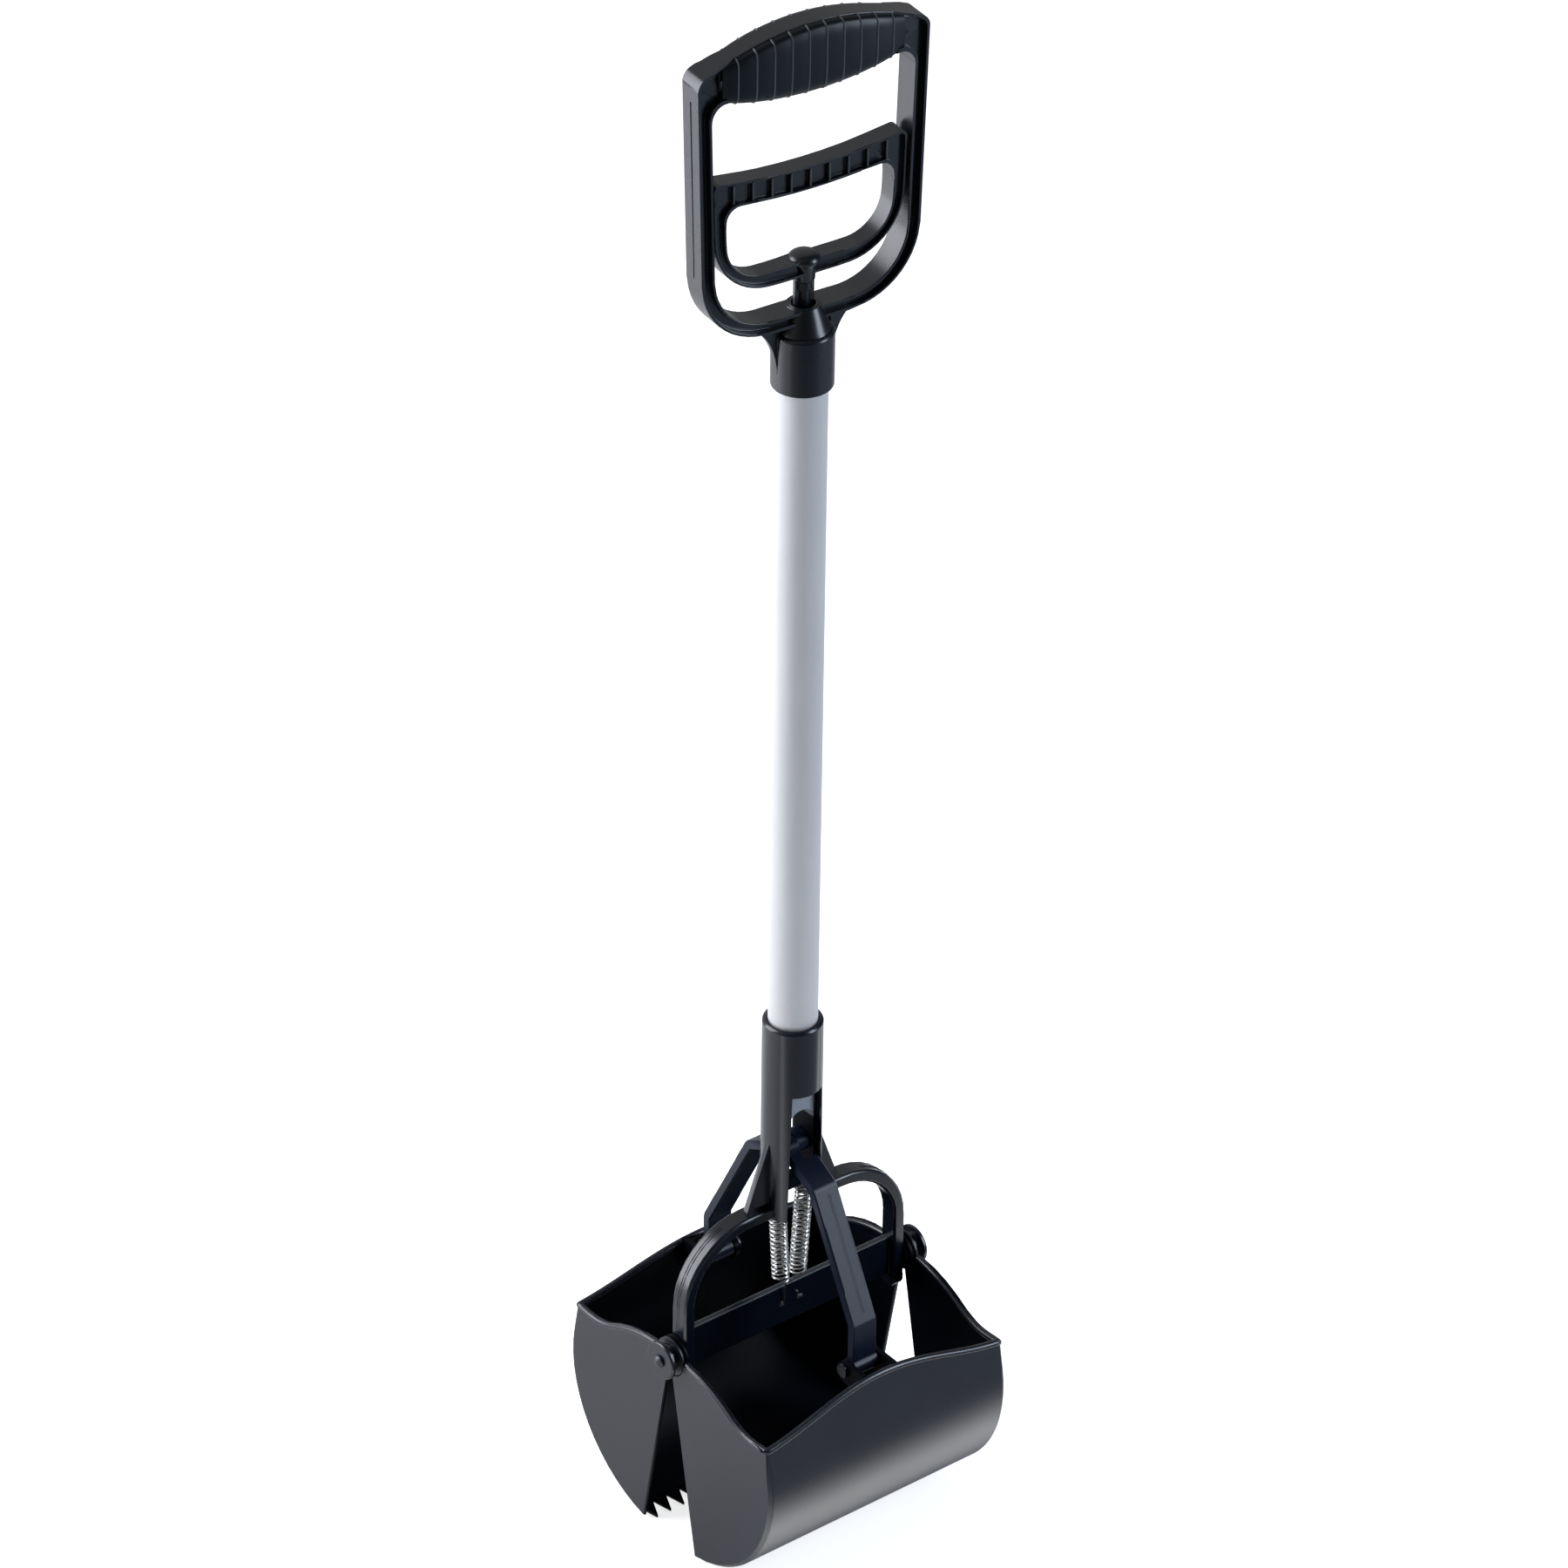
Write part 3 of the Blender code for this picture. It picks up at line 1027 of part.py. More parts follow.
def dome(radius, height, foot):
    """Profile of a domed head, from its crown down to its rim."""
    angles = [math.pi / 2 * i / DOME_STEPS for i in range(DOME_STEPS + 1)]
    return [(radius * math.sin(a), foot + height * math.cos(a)) for a in angles]


def hinge_side(side, name):
    """The flanged bush that both ears turn on, and the headed pin that holds it."""
    start = LEG_OUTER + GAP
    flange = JAW_HALF_LENGTH + FLANGE_STANDOFF
    end = flange + FLANGE_THICK
    bore = HINGE_PIN_RADIUS + GAP
    bush = turned("bush", [(EAR_RADIUS - RIM_ROUND / 2, end), (EAR_RADIUS, end - RIM_ROUND / 2),
                           (EAR_RADIUS, flange), (JOURNAL_RADIUS, flange), (JOURNAL_RADIUS, start),
                           (bore, start), (bore, end)])
    head_foot = end + GAP
    tip = LEG_OUTER - HINGE_PIN_DEPTH
    pin = turned("pin", [*dome(HINGE_HEAD_RADIUS, HINGE_HEAD_HEIGHT, head_foot),
                         (HINGE_PIN_RADIUS, head_foot), (HINGE_PIN_RADIUS, tip), (0.0, tip)], PIN_STEPS)
    turn = Matrix.Translation((0.0, 0.0, HINGE_Z)) @ Matrix.Rotation(side * math.pi / 2, 4, "Y")
    bush.data.transform(turn)
    pin.data.transform(turn)
    finish(bush, "pivot_bush_" + name, BLACK_PLASTIC)
    finish(pin, "hinge_rivet_" + name, DARK_STEEL)


def screw(name, height, seat_radius, tip_radius, place=None):
    """A pan-head screw through a socket into the tube's wall, on the +Y side."""
    head = seat_radius + GAP
    body = turned(name, [*dome(SCREW_HEAD_RADIUS, SCREW_HEAD_HEIGHT, head), (SCREW_RADIUS, head),
                         (SCREW_RADIUS, tip_radius), (0.0, tip_radius)], PIN_STEPS)
    body.data.transform(Matrix.Translation((0.0, 0.0, height)) @ Matrix.Rotation(-math.pi / 2, 4, "X"))
    return finish(body, name, STEEL, place)


def main():
    for obj in list(bpy.data.objects):
        bpy.data.objects.remove(obj)
    collection(OBJECT_NAME)
    collection("cutters")
    handle = axis_empty("handle_turn", (0.0, 0.0, TUBE_TOP_Z), (0.0, 0.0, HANDLE_TWIST))
    handle_frame(handle)
    pull_grip(handle)
    tube()
    pull_rod()
    yoke_housing()
    crosshead()
    jaws()
    links()
    springs()
    hinge_side(-1, "left")
    hinge_side(1, "right")
    pin_end = CROSSHEAD_RADIUS - PIN_INSET
    cross_pin("link_pin", LINK_PIN_RADIUS, pin_end, LINK_PIN_Z)
    cross_pin("spring_pin", SPRING_PIN_RADIUS, pin_end, HINGE_Z + SPRING_PIN_HEIGHT)
    cross_pin("rod_lower_pin", ROD_PIN_RADIUS, pin_end, ROD_FOOT_Z + ROD_PIN_RISE)
    cross_pin("rod_upper_pin", ROD_PIN_RADIUS, SLEEVE_RADIUS - PIN_INSET, ROD_TOP - UPPER_PIN_DROP, handle)
    wall = TUBE_RADIUS - TUBE_WALL + GAP
    screw("upper_screw", SCREW_HEIGHT - HANDLE_SOCKET_DEPTH, HANDLE_SOCKET_RADIUS, wall, handle)
    screw("lower_screw", TUBE_FOOT_Z + SCREW_HEIGHT, HOUSING_RADIUS, wall)


main()
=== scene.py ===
import math

import bmesh
import bpy
from mathutils import Matrix, Vector


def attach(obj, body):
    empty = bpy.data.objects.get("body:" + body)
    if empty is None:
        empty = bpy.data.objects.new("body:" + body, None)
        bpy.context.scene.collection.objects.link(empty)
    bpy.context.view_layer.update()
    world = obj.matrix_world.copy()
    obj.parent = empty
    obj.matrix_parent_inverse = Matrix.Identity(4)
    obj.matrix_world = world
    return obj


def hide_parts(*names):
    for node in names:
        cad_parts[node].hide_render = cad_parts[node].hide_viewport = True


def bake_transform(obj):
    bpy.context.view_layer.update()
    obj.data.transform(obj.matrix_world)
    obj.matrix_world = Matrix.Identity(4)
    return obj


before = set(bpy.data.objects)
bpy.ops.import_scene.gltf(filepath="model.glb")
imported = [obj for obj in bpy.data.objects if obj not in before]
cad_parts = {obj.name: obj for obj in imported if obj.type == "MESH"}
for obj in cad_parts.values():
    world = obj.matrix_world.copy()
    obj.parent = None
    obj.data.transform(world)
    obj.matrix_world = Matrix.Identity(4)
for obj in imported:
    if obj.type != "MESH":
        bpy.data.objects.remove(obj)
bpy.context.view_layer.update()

# Camera, from the fit to the photograph
AZIMUTH = math.radians(-38.723)
ELEVATION = math.radians(33.532)
ROLL = math.radians(0.787)
DISTANCE = 3.752992
LENS = 202.667
AIM_SIDE = -0.005239
AIM_HEIGHT = 0.3763

# The floor's colour turns from white to dark between these distances from the object, to the front right:
# painted shade that reflections see
FLOOR_WHITE = 0.5
FLOOR_DARK = 0.85
FLOOR_HALF = 8.0
FLOOR_GAP = 0.0002
FLOOR_TONE = 0.86
FLOOR_FAR_TONE = 0.10
FLOOR_FAR_GLOW = 0.7

# What reflections see of the floor in front: a dim ground, painted shade, with one bright strip that glows
# only for them, painted light
DIM_TONE = (0.26, 0.28, 0.31)
DIM_START = -0.05                   # distances to the front over which the ground dims
DIM_END = 0.12
STRIP_START = (0.05, 0.08)          # and over which the strip comes and goes
STRIP_END = (0.09, 0.14)
STRIP_LEVELS = (0.15, 2.6)

# Area lamps: name, place, aim, size, power and colour
LAMPS = (
    ("left_panel", (-0.95, 0.85, 0.75), (0.0, 0.0, 0.4), (0.9, 1.6), 32.0, (0.90, 0.92, 1.0)),
    ("front_panel", (0.95, -1.2, 0.75), (0.0, 0.0, 0.3), (0.6, 1.1), 20.0, (0.76, 0.86, 1.0)),
    ("edge_panel", (0.85, -0.9, 1.25), (0.0, 0.0, 0.2), (0.35, 0.35), 2.0, (0.65, 0.78, 1.0)),
)

# The world is brighter along one way, between these shares of it
WORLD_WAY = (-0.35, 0.9, 0.25)
WORLD_RANGE = (-0.3, 1.0)
WORLD_LEVELS = (0.08, 0.68)

# Heights of the edge on the crosshead between a painted reflection above and painted shade below, of the
# slot's top end and of the painted shade on the links' upper ends
REFLECTION_FOOT = 0.2034
REFLECTION_SOFT = 0.0006
SLOT_TOP = 0.22132
SLOT_REACH = 0.001
LINK_SHADE_FOOT = 0.181
SHADE_EDGE_SOFT = 0.002

# The refined forms
WELD = 0.000002                     # vertices nearer than this are one
FLAT = math.radians(0.6)            # faces within this angle are one
CREASE = math.radians(30.0)         # edges sharper than this are broken
SMOOTH = math.radians(36.0)         # shading is smooth up to this angle
CURVE_LOW = math.radians(5.0)       # edges from here up to a crease belong to a curve
CURVE_LEAST = 0.0015                # shorter edges stay as they are
CURVE_REACH = 0.014                 # the handle's wider faces are flat ones
CURVE_SHARE = 25.0                  # percent of the edges beside it that a curve's rounding takes
BEVEL_ROOM = 2.2                    # an edge beside a bevel is at least this many widths long
ROUND_PIECES = ("handle_frame", "pull_grip", "near_jaw", "far_jaw", "front_link", "rear_link")
EDGE_WIDTH = 0.0003
EDGE_WIDTHS = {"handle_frame": 0.0005, "pull_grip": 0.0004, "yoke_housing": 0.0005, "near_jaw": 0.0004,
               "far_jaw": 0.0004, "front_link": 0.0005, "rear_link": 0.0005, "tube": 0.0002,
               "hinge_rivet_left": 0.0002, "hinge_rivet_right": 0.0002}
BODIES = {
    "frame": ["handle_frame", "tube", "yoke_housing", "pivot_bush_left", "pivot_bush_right",
              "hinge_rivet_left", "hinge_rivet_right", "upper_screw", "lower_screw", "front_spring",
              "rear_spring"],
    "puller": ["pull_grip", "pull_rod", "crosshead", "rod_upper_pin", "rod_lower_pin", "link_pin",
               "spring_pin"],
    "near_jaw": ["near_jaw", "near_link_pin"],
    "far_jaw": ["far_jaw", "far_link_pin"],
    "front_link": ["front_link"],
    "rear_link": ["rear_link"],
}

# The handle's grip, in the handle's own axes with the tube's top end as origin
TUBE_TOP = 0.596616
HANDLE_TWIST = math.radians(-6.0)
FRAME_HALF_DEPTH = 0.0061
GRIP_FOOT = 0.105
GRIP_HALF = 0.0435
GRIP_HALF_DEPTH = 0.0086
GRIP_SIDES = 40
GRIP_SQUARE = 0.5                   # 1 is a round section and 0 a square one
GRIP_SQUARE_TOP = 0.3
GRIP_RIBS = 10
GRIP_RIB_SHARE = 0.85               # of the grip's length
GRIP_RIB_RADIUS = 0.0004
GRIP_RIB_WRAP = 0.22                # share of a turn to each side of the face's middle
GRIP_TAPER = 0.35                   # share of its depth that the grip loses at its ends
GRIP_HANG = 0.0009                  # below the window's top
GRIP_SINK = 0.0006                  # below the crown
GRIP_END_SINK = 0.0004
GRIP_CROWN = 0.0001
PARED_HALF = 0.0395                 # between these the CAD's grip is sunk
PARED_DEPTH = 0.0046
PARED_WELD = 0.0005
CROWN_FOOT = 0.1335
CROWN_RISE = 0.0165
CROWN_HALF = 0.0556
WINDOW_TOP = 0.1206
WINDOW_SAG = 0.0075
WINDOW_HALF = 0.049
WINDOW_LIFT = 0.0058
WINDOW_LIFT_FROM = (0.104, 0.1125)  # heights over which the lift sets in
WINDOW_LIFT_TO = (0.124, 0.136)     # and over which it fades
WINDOW_LIFT_HALF = 0.0512
PULL_RIBS = 9
PULL_RIB_REACH = 0.0368
PULL_RIB_DEEP = 0.0041
PULL_RIB_INSET = 0.0014
PULL_RIB_RADIUS = 0.0004
PULL_TOP = 0.0833
PULL_RISE = 0.0039
PULL_HALF_TOP = 0.0466
PULL_BAR = 0.011
SHOULDER_LIFT = 0.0033
SHOULDER_HALF = 0.052
SHOULDER_FROM = (0.112, 0.13)

# Radii and heights of the boss over the pull's bottom bar and of the cone over the socket
BOSS = ((0.0, 0.0413), (0.0020, 0.0412), (0.0036, 0.04098), (0.0049, 0.0406), (0.0060, 0.0398),
        (0.0067, 0.0389), (0.0068, 0.0379), (0.0061, 0.0365), (0.0051, 0.0350), (0.0048, 0.0290),
        (0.0042, 0.0280), (0.0, 0.0280))
CONE = ((0.0066, 0.0168), (0.0073, 0.0168), (0.0079, 0.0160), (0.0110, 0.0072), (0.0117, 0.0061),
        (0.0119, 0.0050), (0.0066, 0.0050))
TURN_SIDES = 36

# Parting lines: the handle's side faces in its own axes, and the links' outer faces
RIDGE_HEIGHT = 0.00024
SIDE_LINE_WIDTH = 0.0005
LINK_LINE_WIDTH = 0.0003
SIDE_LOW = 0.0445
SIDE_HIGH = 0.1265
SIDE_FOOT = 0.05325
SIDE_TOP = 0.05552
LINK_SHOULDER = (0.0225, -0.0115)   # across and up from the link pin
LINK_KNEE = (0.0515, -0.0675)
LINK_PIN_HEIGHT = 0.188316
LINK_HALF_THICK = 0.0023
LINK_LINES = (0.0004, 0.0013)
LINK_LINE_START = 0.003
LINK_LINE_END = 0.0045

# The jaws' rim beads and the arches' lines
JAW_OPEN = math.radians(10.6)
JAW_SIDE = 0.0665
JAW_BACK = 0.065
JAW_CROWN = 0.012
JAW_CROWN_POWER = 0.8
JAW_DROP = 0.038                    # from the hinge axis down to the curve's centre
HOLLOW_SHADE_INSET = 0.001
EDGE_DROP = 0.0244                  # from the hinge axis down to the top corners
EDGE_START = 0.0064
EAR_EDGE = 0.0105
EAR_SHARE = 0.06                    # of the drop, at the bead's end by the ear
EDGE_SHARES = ((0.1, 0.08), (0.22, 0.17), (0.35, 0.31), (0.48, 0.5), (0.6, 0.72), (0.72, 0.88), (0.85, 0.97))
RIM_RADIUS = 0.0017
RIM_PROUD = 0.0003                  # of the bead, out of the wall
RIM_CORNER = 0.0009
RIM_STEPS = 24
RIM_SIDES = 14
ARCH_SIDE = 0.0619
ARCH_RADIUS = 0.036
ARCH_CENTRE = 0.0234
ARCH_LINES = (0.0003, -0.0010)
ARCH_LINE_ANGLES = [math.radians(20.0 + 5.0 * i) for i in range(15)]
ARCH_LINE_FOOT = 0.0125
ARCH_LINE_SIDES = 6
LINE_RADIUS = 0.00017

# The crosshead's foot
FOOT_HEIGHT = 0.0668
FOOT_SIZE = (0.0078, 0.006, 0.0068)
FOOT_EDGE = 0.0006

# The springs, hooked in the crossbar and over the crosshead's pin
HINGE_HEIGHT = 0.101916
COIL_RADIUS = 0.0036
COIL_TURNS = 21
COIL_POINTS = 20
COIL_PITCH = 0.00227
COIL_FOOT = 0.0149
COIL_LEAN = (0.0010, -0.0024)
COIL_GAP = 0.0003
HOOK_POINTS = 10
HOOK_HEIGHT = 0.0014
SPRING_OFFSET = 0.0048
SPRING_PIN = 0.0674
SPRING_PIN_RADIUS = 0.0015
WIRE_RADIUS = 0.00048
WIRE_SIDES = 8
CROSSBAR_HALF = 0.0014
CROSSBAR_TOP = 0.0112
CROSSBAR_REACH = 0.057
CROSSBAR_INSET = 0.0002
CROSSBAR_FACE = 0.0200              # from its top down to the low line
CROSSBAR_LINE = 0.0003
CROSSBAR_LOW_LINE = 0.0002
HIGHLIGHT_SIDES = 8


def camera():
    """The camera at the photograph's angle."""
    back = Vector((math.sin(AZIMUTH) * math.cos(ELEVATION), -math.cos(AZIMUTH) * math.cos(ELEVATION),
                   math.sin(ELEVATION)))
    right = Vector((math.cos(AZIMUTH), math.sin(AZIMUTH), 0.0))
    up = back.cross(right)
    turned_right = math.cos(ROLL) * right + math.sin(ROLL) * up
    turned_up = -math.sin(ROLL) * right + math.cos(ROLL) * up
    data = bpy.data.cameras.new("camera")
    data.lens = LENS
    data.sensor_fit = "HORIZONTAL"
    data.sensor_width = 36.0
    data.clip_start = 0.1
    data.clip_end = 30.0
    obj = bpy.data.objects.new("camera", data)
    bpy.context.scene.collection.objects.link(obj)
    place = Vector((0.0, 0.0, AIM_HEIGHT)) + turned_right * AIM_SIDE + back * DISTANCE
    turn = Matrix((turned_right, turned_up, back)).transposed()
    obj.matrix_world = Matrix.Translation(place) @ turn.to_4x4()
    bpy.context.scene.camera = obj


class Shader:
    """A material's nodes, made in the order that they are used."""

    def __init__(self, name):
        self.material = bpy.data.materials.new(name)
        self.material.use_nodes = True
        self.tree = self.material.node_tree
        self.surface = self.tree.nodes["Principled BSDF"]
        place = self.tree.nodes.new("ShaderNodeTexCoord")
        self.place = place.outputs["Object"]

    def node(self, kind, values=None, **settings):
        """A node with its settings, and its inputs either linked or set."""
        new = self.tree.nodes.new("ShaderNode" + kind)
        for key, value in settings.items():
            setattr(new, key, value)
        for key, value in (values or {}).items():
            if isinstance(value, bpy.types.NodeSocket):
                self.tree.links.new(value, new.inputs[key])
            else:
                new.inputs[key].default_value = value
        return new

    def link(self, output, socket):
        """Feeds one of the surface's sockets."""
        self.tree.links.new(output, self.surface.inputs[socket])

    def math(self, operation, first, second=0.0, third=0.0):
        """The result of a sum on numbers or outputs."""
        return self.node("Math", {0: first, 1: second, 2: third}, operation=operation).outputs[0]

    def noise(self, scale, detail, stretch=None):
        """Noise over the object, drawn out where a stretch is given."""
        place = self.place
        if stretch:
            place = self.node("Mapping", {"Vector": place, "Scale": stretch}).outputs[0]
        return self.node("TexNoise", {"Vector": place, "Scale": scale, "Detail": detail}).outputs["Fac"]

    def ramp(self, value, start, end, low=0.0, high=1.0, kind="LINEAR"):
        """Values from low to high as the given one goes from start to end."""
        return self.node("MapRange", {"Value": value, "From Min": start, "From Max": end, "To Min": low,
                                      "To Max": high}, interpolation_type=kind).outputs[0]

    def between(self, factor, low, high):
        """The factor from 0 to 1, mapped to values from low to high."""
        return self.ramp(factor, 0.0, 1.0, low, high)

    def blend(self, factor, first, second):
        """The first colour, mixed towards the second by the factor."""
        return self.node("Mix", {"Factor": factor, 6: first, 7: second}, data_type="RGBA").outputs[2]

    def dot(self, way):
        """How far a place lies along a way."""
        return self.node("VectorMath", {0: self.place, 1: way}, operation="DOT_PRODUCT").outputs["Value"]

    def parts(self):
        """The place's X, Y and Z."""
        return self.node("SeparateXYZ", {"Vector": self.place}).outputs

    def bump(self, heights):
        """Normals from heights in metres."""
        total = heights[0]
        for height in heights[1:]:
            total = self.math("ADD", total, height)
        new = self.node("Bump", {"Height": total, "Distance": 1.0, "Strength": 1.0})
        self.tree.links.new(new.outputs[0], self.surface.inputs["Normal"])


def tone(colour, level=1.0):
    """A colour at a level, as a socket takes it."""
    return (*[min(c * level, 1.0) for c in colour], 1.0)


def plastic(name, colour, roughness, grain=2600.0, gloss=0.5, shade_above=0.0, hollow_shade=False):
    """Moulded black plastic: fine grain, faint flow clouding and rubbed places.

    It is duller above a height, painted shade, and darker and duller in the hollow of a jaw, painted shade
    too.
    """
    new = Shader(name)
    new.surface.inputs["IOR"].default_value = 1.5
    new.surface.inputs["Specular IOR Level"].default_value = gloss
    cloud = new.noise(35.0, 3.0)
    fine = new.noise(900.0, 2.0)
    base = new.blend(cloud, tone(colour, 0.8), tone(colour, 1.25))
    rough = new.math("ADD", new.between(cloud, roughness - 0.03, roughness + 0.03),
                     new.between(fine, -0.01, 0.01))
    new.link(rough, "Roughness")
    grains = new.noise(grain, 2.0)
    new.bump([new.between(grains, 0.0, 0.0000015), new.between(cloud, 0.0, 0.00003)])
    if shade_above:
        # Duller above the given height: painted shade on the links' upper ends
        dull = new.ramp(new.parts()["Z"], shade_above - SHADE_EDGE_SOFT, shade_above + SHADE_EDGE_SOFT, gloss, 0.06)
        new.link(dull, "Specular IOR Level")
    if hollow_shade:
        # Darker and duller on the jaws' inner faces: painted shade in their hollows
        inner = hollow_shade_mask(new)
        new.link(new.between(inner, gloss, 0.04), "Specular IOR Level")
        base = new.blend(inner, base, tone(colour, 0.4))
    new.link(base, "Base Color")
    return new.material


def hollow_shade_mask(new):
    """1 on the inner faces of both jaws as shown, where shade is painted, and 0 outside."""
    parts = new.parts()
    away = new.math("ABSOLUTE", parts["Y"])
    height = new.math("SUBTRACT", parts["Z"], HINGE_HEIGHT)
    across = new.math("MULTIPLY_ADD", height, math.sin(JAW_OPEN),
                      new.math("MULTIPLY", away, math.cos(JAW_OPEN)))
    along = new.math("MULTIPLY_ADD", away, -math.sin(JAW_OPEN),
                     new.math("MULTIPLY", height, math.cos(JAW_OPEN)))
    under = new.math("MINIMUM", new.math("ADD", along, JAW_DROP), 0.0)
    reach = new.math("SQRT", new.math("MULTIPLY_ADD", across, across, new.math("MULTIPLY", under, under)))
    within = new.math("LESS_THAN", reach, JAW_BACK - HOLLOW_SHADE_INSET)
    between = new.math("LESS_THAN", new.math("ABSOLUTE", parts["X"]), JAW_SIDE - HOLLOW_SHADE_INSET)
    return new.math("MULTIPLY", within, between)


def slider():
    """The crosshead's plastic: paler on its upper half, a painted reflection, and dark and dull below,
    painted shade.
    """
    new = Shader("slider_black")
    cloud = new.noise(120.0, 3.0)
    edge = new.math("ADD", new.parts()["Z"], new.between(cloud, -REFLECTION_SOFT, REFLECTION_SOFT))
    # Paler and shinier above this edge, a painted reflection, and darker and duller below it, painted shade
    painted_reflection = new.ramp(edge, REFLECTION_FOOT - REFLECTION_SOFT, REFLECTION_FOOT + REFLECTION_SOFT)
    new.link(new.blend(painted_reflection, tone((0.002, 0.003, 0.006)), tone((0.22, 0.24, 0.28))), "Base Color")
    new.link(new.between(cloud, 0.42, 0.55), "Roughness")
    new.link(new.between(painted_reflection, 0.04, 0.25), "Specular IOR Level")
    new.bump([new.between(new.noise(2600.0, 2.0), 0.0, 0.000003)])
    return new.material


def metal(name, colour, roughness, stretch=(1.0, 1.0, 1.0), metallic=1.0, drawn=0.0):
    """Metal with fine lines along one way and slight spotting, and a stretched shine where it is drawn."""
    new = Shader(name)
    new.surface.inputs["Metallic"].default_value = metallic
    if drawn:
        new.surface.inputs["Anisotropic"].default_value = drawn
        new.link(new.node("Tangent", direction_type="RADIAL", axis="Z").outputs[0], "Tangent")
    cloud = new.noise(25.0, 3.0)
    lines = new.noise(400.0, 3.0, stretch)
    new.link(new.blend(cloud, tone(colour, 0.93), tone(colour, 1.05)), "Base Color")
    rough = new.math("ADD", new.between(cloud, roughness - 0.04, roughness + 0.04),
                     new.between(lines, -0.05, 0.05))
    new.link(rough, "Roughness")
    new.bump([new.between(lines, 0.0, 0.000004)])
    return new.material


def body_of_node(name):
    """The body that carries a CAD node."""
    for body, names in BODIES.items():
        if name in names:
            return body
    raise KeyError(name)


def has_room(edge, width):
    """True where nothing beside the edge's ends is too small for a bevel of this width."""
    for vert in edge.verts:
        for other in vert.link_edges:
            if other is not edge and other.calc_length() < BEVEL_ROOM * width:
                return False
    return edge.calc_length() > width / 2


def handle_place():
    """The twisted handle's own axes, with their origin at the tube's top end."""
    return Matrix.Translation((0.0, 0.0, TUBE_TOP)) @ Matrix.Rotation(HANDLE_TWIST, 4, "Z")


def ease(value, low, high):
    """0 below low and 1 above high, with a soft change between."""
    share = max(0.0, min(1.0, (value - low) / (high - low)))
    return share * share * (3 - 2 * share)


def shoulder_lift(x):
    """How much higher the crown is than the CAD's, towards its corners."""
    return SHOULDER_LIFT * min(1.0, abs(x) / SHOULDER_HALF) ** 3


def crown_height(x):
    """The crown's height in the CAD, over the grip."""
    return CROWN_FOOT + CROWN_RISE * (1 - (x / CROWN_HALF) ** 2)


def pare_grip(bm):
    """Sinks the CAD's grip under the scene's own, and raises the window's top and the shoulders."""
    inverse = handle_place().inverted()
    for vert in bm.verts:
        place = inverse @ vert.co
        if place.z > GRIP_FOOT:
            if abs(place.x) < PARED_HALF and abs(place.y) > PARED_DEPTH:
                place.y = math.copysign(PARED_DEPTH, place.y)
            elif abs(place.y) > FRAME_HALF_DEPTH:
                place.y = math.copysign(FRAME_HALF_DEPTH, place.y)
        if abs(place.x) < GRIP_HALF:
            place.z = min(place.z, crown_height(place.x))
        inner = WINDOW_LIFT * ease(place.z, *WINDOW_LIFT_FROM) * (1 - ease(place.z, *WINDOW_LIFT_TO))
        if abs(place.x) >= WINDOW_LIFT_HALF:
            inner = 0.0
        place.z += shoulder_lift(place.x) * ease(place.z, *SHOULDER_FROM) + inner
        vert.co = handle_place() @ place


def pare_rim(bm, place):
    """Trims the CAD's rim bead to the jaw's own walls, where the scene's own bead covers it."""
    inverse = place.inverted()
    for vert in bm.verts:
        spot = inverse @ vert.co
        spot.x = max(-JAW_SIDE, min(JAW_SIDE, spot.x))
        spot.y = min(spot.y, JAW_BACK)
        vert.co = place @ spot


def jaw_place(name):
    """A jaw's own axes as shown, with the hinge axis as origin and the mouth closed."""
    turn = Matrix.Rotation(math.pi if name == "near_jaw" else 0.0, 4, "Z")
    return Matrix.Translation((0.0, 0.0, HINGE_HEIGHT)) @ turn @ Matrix.Rotation(JAW_OPEN, 4, "X")


def rim(name, surface):
    """The smooth round bead along a jaw's top edges, with rounded corners."""
    side = [(EAR_EDGE, -EDGE_DROP * EAR_SHARE)]
    side += [(EDGE_START + (JAW_BACK - RIM_RADIUS - EDGE_START) * across, -EDGE_DROP * down)
             for across, down in EDGE_SHARES]
    out = JAW_SIDE - RIM_RADIUS + RIM_PROUD
    back = JAW_BACK - RIM_RADIUS + RIM_PROUD
    corner = [(out - RIM_CORNER * (1 - math.cos(a)), back - RIM_CORNER * (1 - math.sin(a)), -EDGE_DROP)
              for a in (0.0, math.pi / 8, math.pi / 4, 3 * math.pi / 8, math.pi / 2)]
    half = [(out, y, z) for y, z in side if y < back - RIM_CORNER] + corner
    for i in range(1, RIM_STEPS):
        x = (out - RIM_CORNER) * (1 - 2 * i / RIM_STEPS)
        share = abs(x) / JAW_SIDE
        rise = JAW_CROWN * ((1 + math.cos(math.pi * share)) / 2) ** JAW_CROWN_POWER
        half.append((x, back, -EDGE_DROP + rise))
    path = half + [(-x, y, z) for x, y, z in reversed(corner)] + [
        (-out, y, z) for y, z in reversed(side) if y < back - RIM_CORNER]
    path = [jaw_place(name) @ Vector(point) for point in smoothed(path)]
    line(name + "_rim", path, RIM_RADIUS, RIM_SIDES, surface, name)


def smoothed(points):
    """The points with their corners cut once, so that the line bends softly."""
    found = [Vector(points[0])]
    for first, second in zip(points, points[1:]):
        first, second = Vector(first), Vector(second)
        found += [first.lerp(second, 0.25), first.lerp(second, 0.75)]
    return found + [Vector(points[-1])]


def smooth_mesh(name, bm):
    """The built form as a mesh, smooth up to its creases."""
    mesh = bpy.data.meshes.new(name)
    bm.to_mesh(mesh)
    bm.free()
    mesh.shade_smooth()
    mesh.set_sharp_from_angle(angle=SMOOTH)
    return mesh


